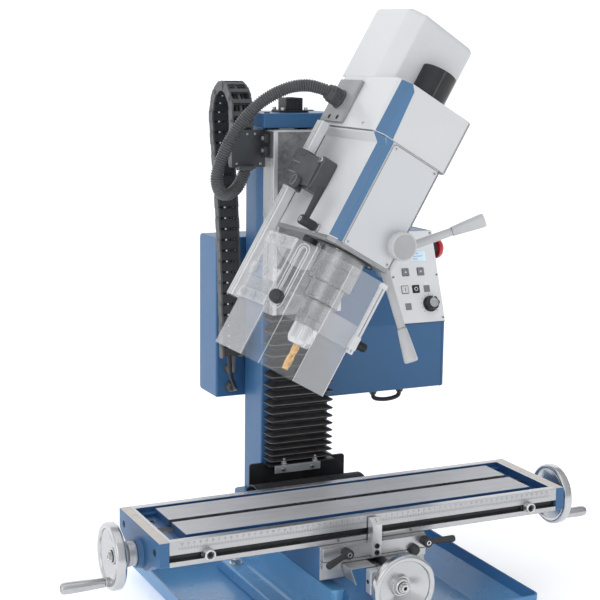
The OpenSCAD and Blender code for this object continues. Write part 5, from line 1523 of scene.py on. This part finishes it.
# narrow flat with the long slot and its double rim
inv = np.array(SLOT.inverted())
ly = [(inv[:2, :2] @ q + inv[:2, 3])[1] for q in (up_path[1], up_path[2])]
hole = [(y, z) for z, y in slotpts(-140, -52, 0, 5.0, 10)]
p.add(plate([(ly[0], -155), (ly[1], -155), (ly[1], -38), (ly[0], -38)], -6.5, -3.5, 0.0, 1, [hole]), lambda c, n: CLEAR if abs(n @ np.array(SLOT)[:3, 0]) > 0.7 else CLEAR_E, SLOT @ YZ)
for off in (7.0, 11.6):
    ring = [(y, z) for z, y in slotpts(-140, -52, 0, off, 12)]
    inn = [(y, z) for z, y in slotpts(-140, -52, 0, off - 1.3, 12)]
    p.add(plate(ring, -7.6, -6.4, 0.3, 1, [inn]), CLEAR_E, SLOT @ YZ)
bends(p, up_path, -155, -38, 0.45)
# clear cross bars with their screws, and the softer strips between; strips and standoffs in whiter copies of the clear
# sheet: painted reflection
for z0, z1 in ((-58, -38), (-115, -94), (-155, -138)):
    p.add(rbox(-107.4, -104.5, -36, 66, z0, z1, 0.9, 2), lambda c, n: CLEAR_B if abs(n[0]) > 0.7 else CLEAR_E)
    for y in (44, 4):
        M = axis_to((-107.4, y, (z0 + z1) / 2), (-1, 0, 0))
        p.add(ringz(3.4, 6.6, 0, 2.6, 0.8, 28), CLEAR_F, M)
        p.add(cyl(3.4, 0, 1.6, 0.4, 20), CLEAR_M, M)
for z0, z1 in ((-94, -58), (-138, -115)):
    p.add(rbox(-104.9, -104.45, -20, 62, z0, z1, 0.1, 1), CLEAR_M)
# edge rail, clamp block and the turned side knob
p.add(plate([(29, -106), (38, -106), (38, -98.4), (34.4, -98.4), (34.4, -101.6), (32.6, -101.6), (32.6, -98.4), (29, -98.4)], -160, -38, 0.4, 1), CLEAR_E)
p.add(plate([(32.2, -106.5), (33.8, -106.5), (33.8, -105.8), (32.2, -105.8)], -158, -44, 0.1, 1), STEEL_D)
p.add(rbox(26.5, 39, -108, -97.6, -153, -130, 1.2, 2), CLEAR_E)
p.add(rbox(27.5, 39, -107.4, -98, -47, -38.2, 1.0, 2), CLEAR_E)
K = axis_to((37, -102, -141), (1, 0, 0))
p.add(lathe([(0, 0), (5.0, 0), (5.0, 3), (6.6, 3.2), (7.0, 3.8), (7.0, 17.6), (6.4, 18.4), (5.2, 18.6), (4.8, 18.0), (0, 18.0)], 44), BLACK_ST, K)
for k in range(24):
    p.add(rbox(6.7, 7.25, -0.4, 0.4, 4.4, 16.8, 0.15, 1), BLACK_ST, K @ R(15 * k, "Z"))
p.done()

p = Piece("lower_shield", "shield", ("shield_lower",), HEAD, slot="clear_shield")
# the two end flats in a whiter, less clear copy of the sheet: painted reflection
for q, face in zip(flats(lo_path, 3), (CLEAR_F, CLEAR, CLEAR, CLEAR_F)):
    p.add(plate(q, -238, -116, 0.0, 1), pane(face))
bends(p, lo_path, -238, -116, 0.4)
# tube along the free edge in the lighter edge copy: painted highlight
p.add(tube([(30.2, -97.0, z) for z in (-237.6, -170, -116.4)], 0.8, 8), CLEAR_E)
p.done()

p = Piece("slot_knob", "guard_knob", ("guard_knob",), HEAD, slot="black_plastic")
K = SLOT @ axis_to((0, 0, -134), (-1, 0, 0))
p.add(cyl(3.95, -4, 10, 0.3, 24), STEEL, K)
p.add(lathe([(0, 6.9), (9.6, 6.9), (10.5, 7.9), (10.5, 18.6), (9.6, 21), (6.8, 22), (0, 22.1)], 44), PLASTIC, K)
for k in range(20):
    p.add(rbox(10.1, 11.0, -0.75, 0.75, 8.4, 18.0, 0.25, 1), PLASTIC, K @ R(18 * k, "Z"))
p.done()

# ================================================================== floor, light, camera
sweep = [(-45.0, 0.0), (3.2, 0.0)] + [(3.2 + 1.6 * math.sin(t), 1.6 - 1.6 * math.cos(t)) for t in np.linspace(0, math.pi / 2, 17)[1:]] + [(4.8, 6.0)]
V, F = [], []
for y, z in sweep:
    V += [(-45.0, y, z), (45.0, y, z)]
for i in range(len(sweep) - 1):
    F.append((2 * i, 2 * i + 1, 2 * i + 3, 2 * i + 2))
me = bpy.data.meshes.new("floor")
me.from_pydata(V, [], F)
me.polygons.foreach_set("use_smooth", [True] * len(F))
fl = bpy.data.objects.new("floor", me)
fl.location = (0, 0, -0.0008)
scene.collection.objects.link(fl)
FLOOR = finish("pale_floor", (0.90, 0.90, 0.905), 0.85, 0, 0.008, 2.0, 0.05, 0.03, 80, emit=0.42)
me.materials.append(FLOOR)

# soft studio surround: brighter to the left, dimmer to the right
w = bpy.data.worlds.new("studio")
w.use_nodes = True
nt = w.node_tree
bg = nt.nodes["Background"]
bg.inputs["Color"].default_value = (0.975, 0.985, 1.0, 1)
tc = nt.nodes.new("ShaderNodeTexCoord")
dt = nt.nodes.new("ShaderNodeVectorMath")
dt.operation = "DOT_PRODUCT"
dt.inputs[1].default_value = (-0.80, -0.40, 0.40)
nt.links.new(tc.outputs["Generated"], dt.inputs[0])
rg = nt.nodes.new("ShaderNodeMapRange")
rg.inputs["From Min"].default_value, rg.inputs["From Max"].default_value = -0.9, 0.9
rg.inputs["To Min"].default_value, rg.inputs["To Max"].default_value = 0.22, 0.94
nt.links.new(dt.outputs["Value"], rg.inputs["Value"])
nt.links.new(rg.outputs["Result"], bg.inputs["Strength"])
scene.world = w


def area(name, loc, target, size, power, col=(1, 1, 1)):
    l = bpy.data.lights.new(name, "AREA")
    l.shape = "RECTANGLE"
    l.size, l.size_y = size
    l.energy = power
    l.color = col
    o = bpy.data.objects.new(name, l)
    o.location = loc
    o.rotation_euler = (Vector(target) - Vector(loc)).to_track_quat("-Z", "Y").to_euler()
    scene.collection.objects.link(o)


area("key", (-2.6, -2.2, 2.0), (0.0, 0.0, 0.55), (2.2, 2.2), 13)
area("top", (0.0, -0.4, 3.2), (0.0, 0.0, 0.4), (2.6, 2.6), 8)

a, e, r = math.radians(25.30), math.radians(9.73), math.radians(0.70)
d = Vector((math.cos(e) * math.sin(a), math.cos(e) * math.cos(a), -math.sin(e)))
rt = Vector((math.cos(a), -math.sin(a), 0))
up = rt.cross(d)
rt2 = math.cos(r) * rt + math.sin(r) * up
up2 = -math.sin(r) * rt + math.cos(r) * up
cd = bpy.data.cameras.new("photo_view")
cd.lens = 85.3
cd.sensor_width = 36.0
cd.sensor_fit = "HORIZONTAL"
cd.clip_end = 50
cam = bpy.data.objects.new("photo_view", cd)
cam.matrix_world = Matrix(((rt2.x, up2.x, -d.x, -1.043), (rt2.y, up2.y, -d.y, -2.1064), (rt2.z, up2.z, -d.z, 0.9273), (0, 0, 0, 1)))
scene.collection.objects.link(cam)
scene.camera = cam

scene.view_settings.view_transform = "Standard"
scene.view_settings.look = "None"
scene.view_settings.exposure = 0.0
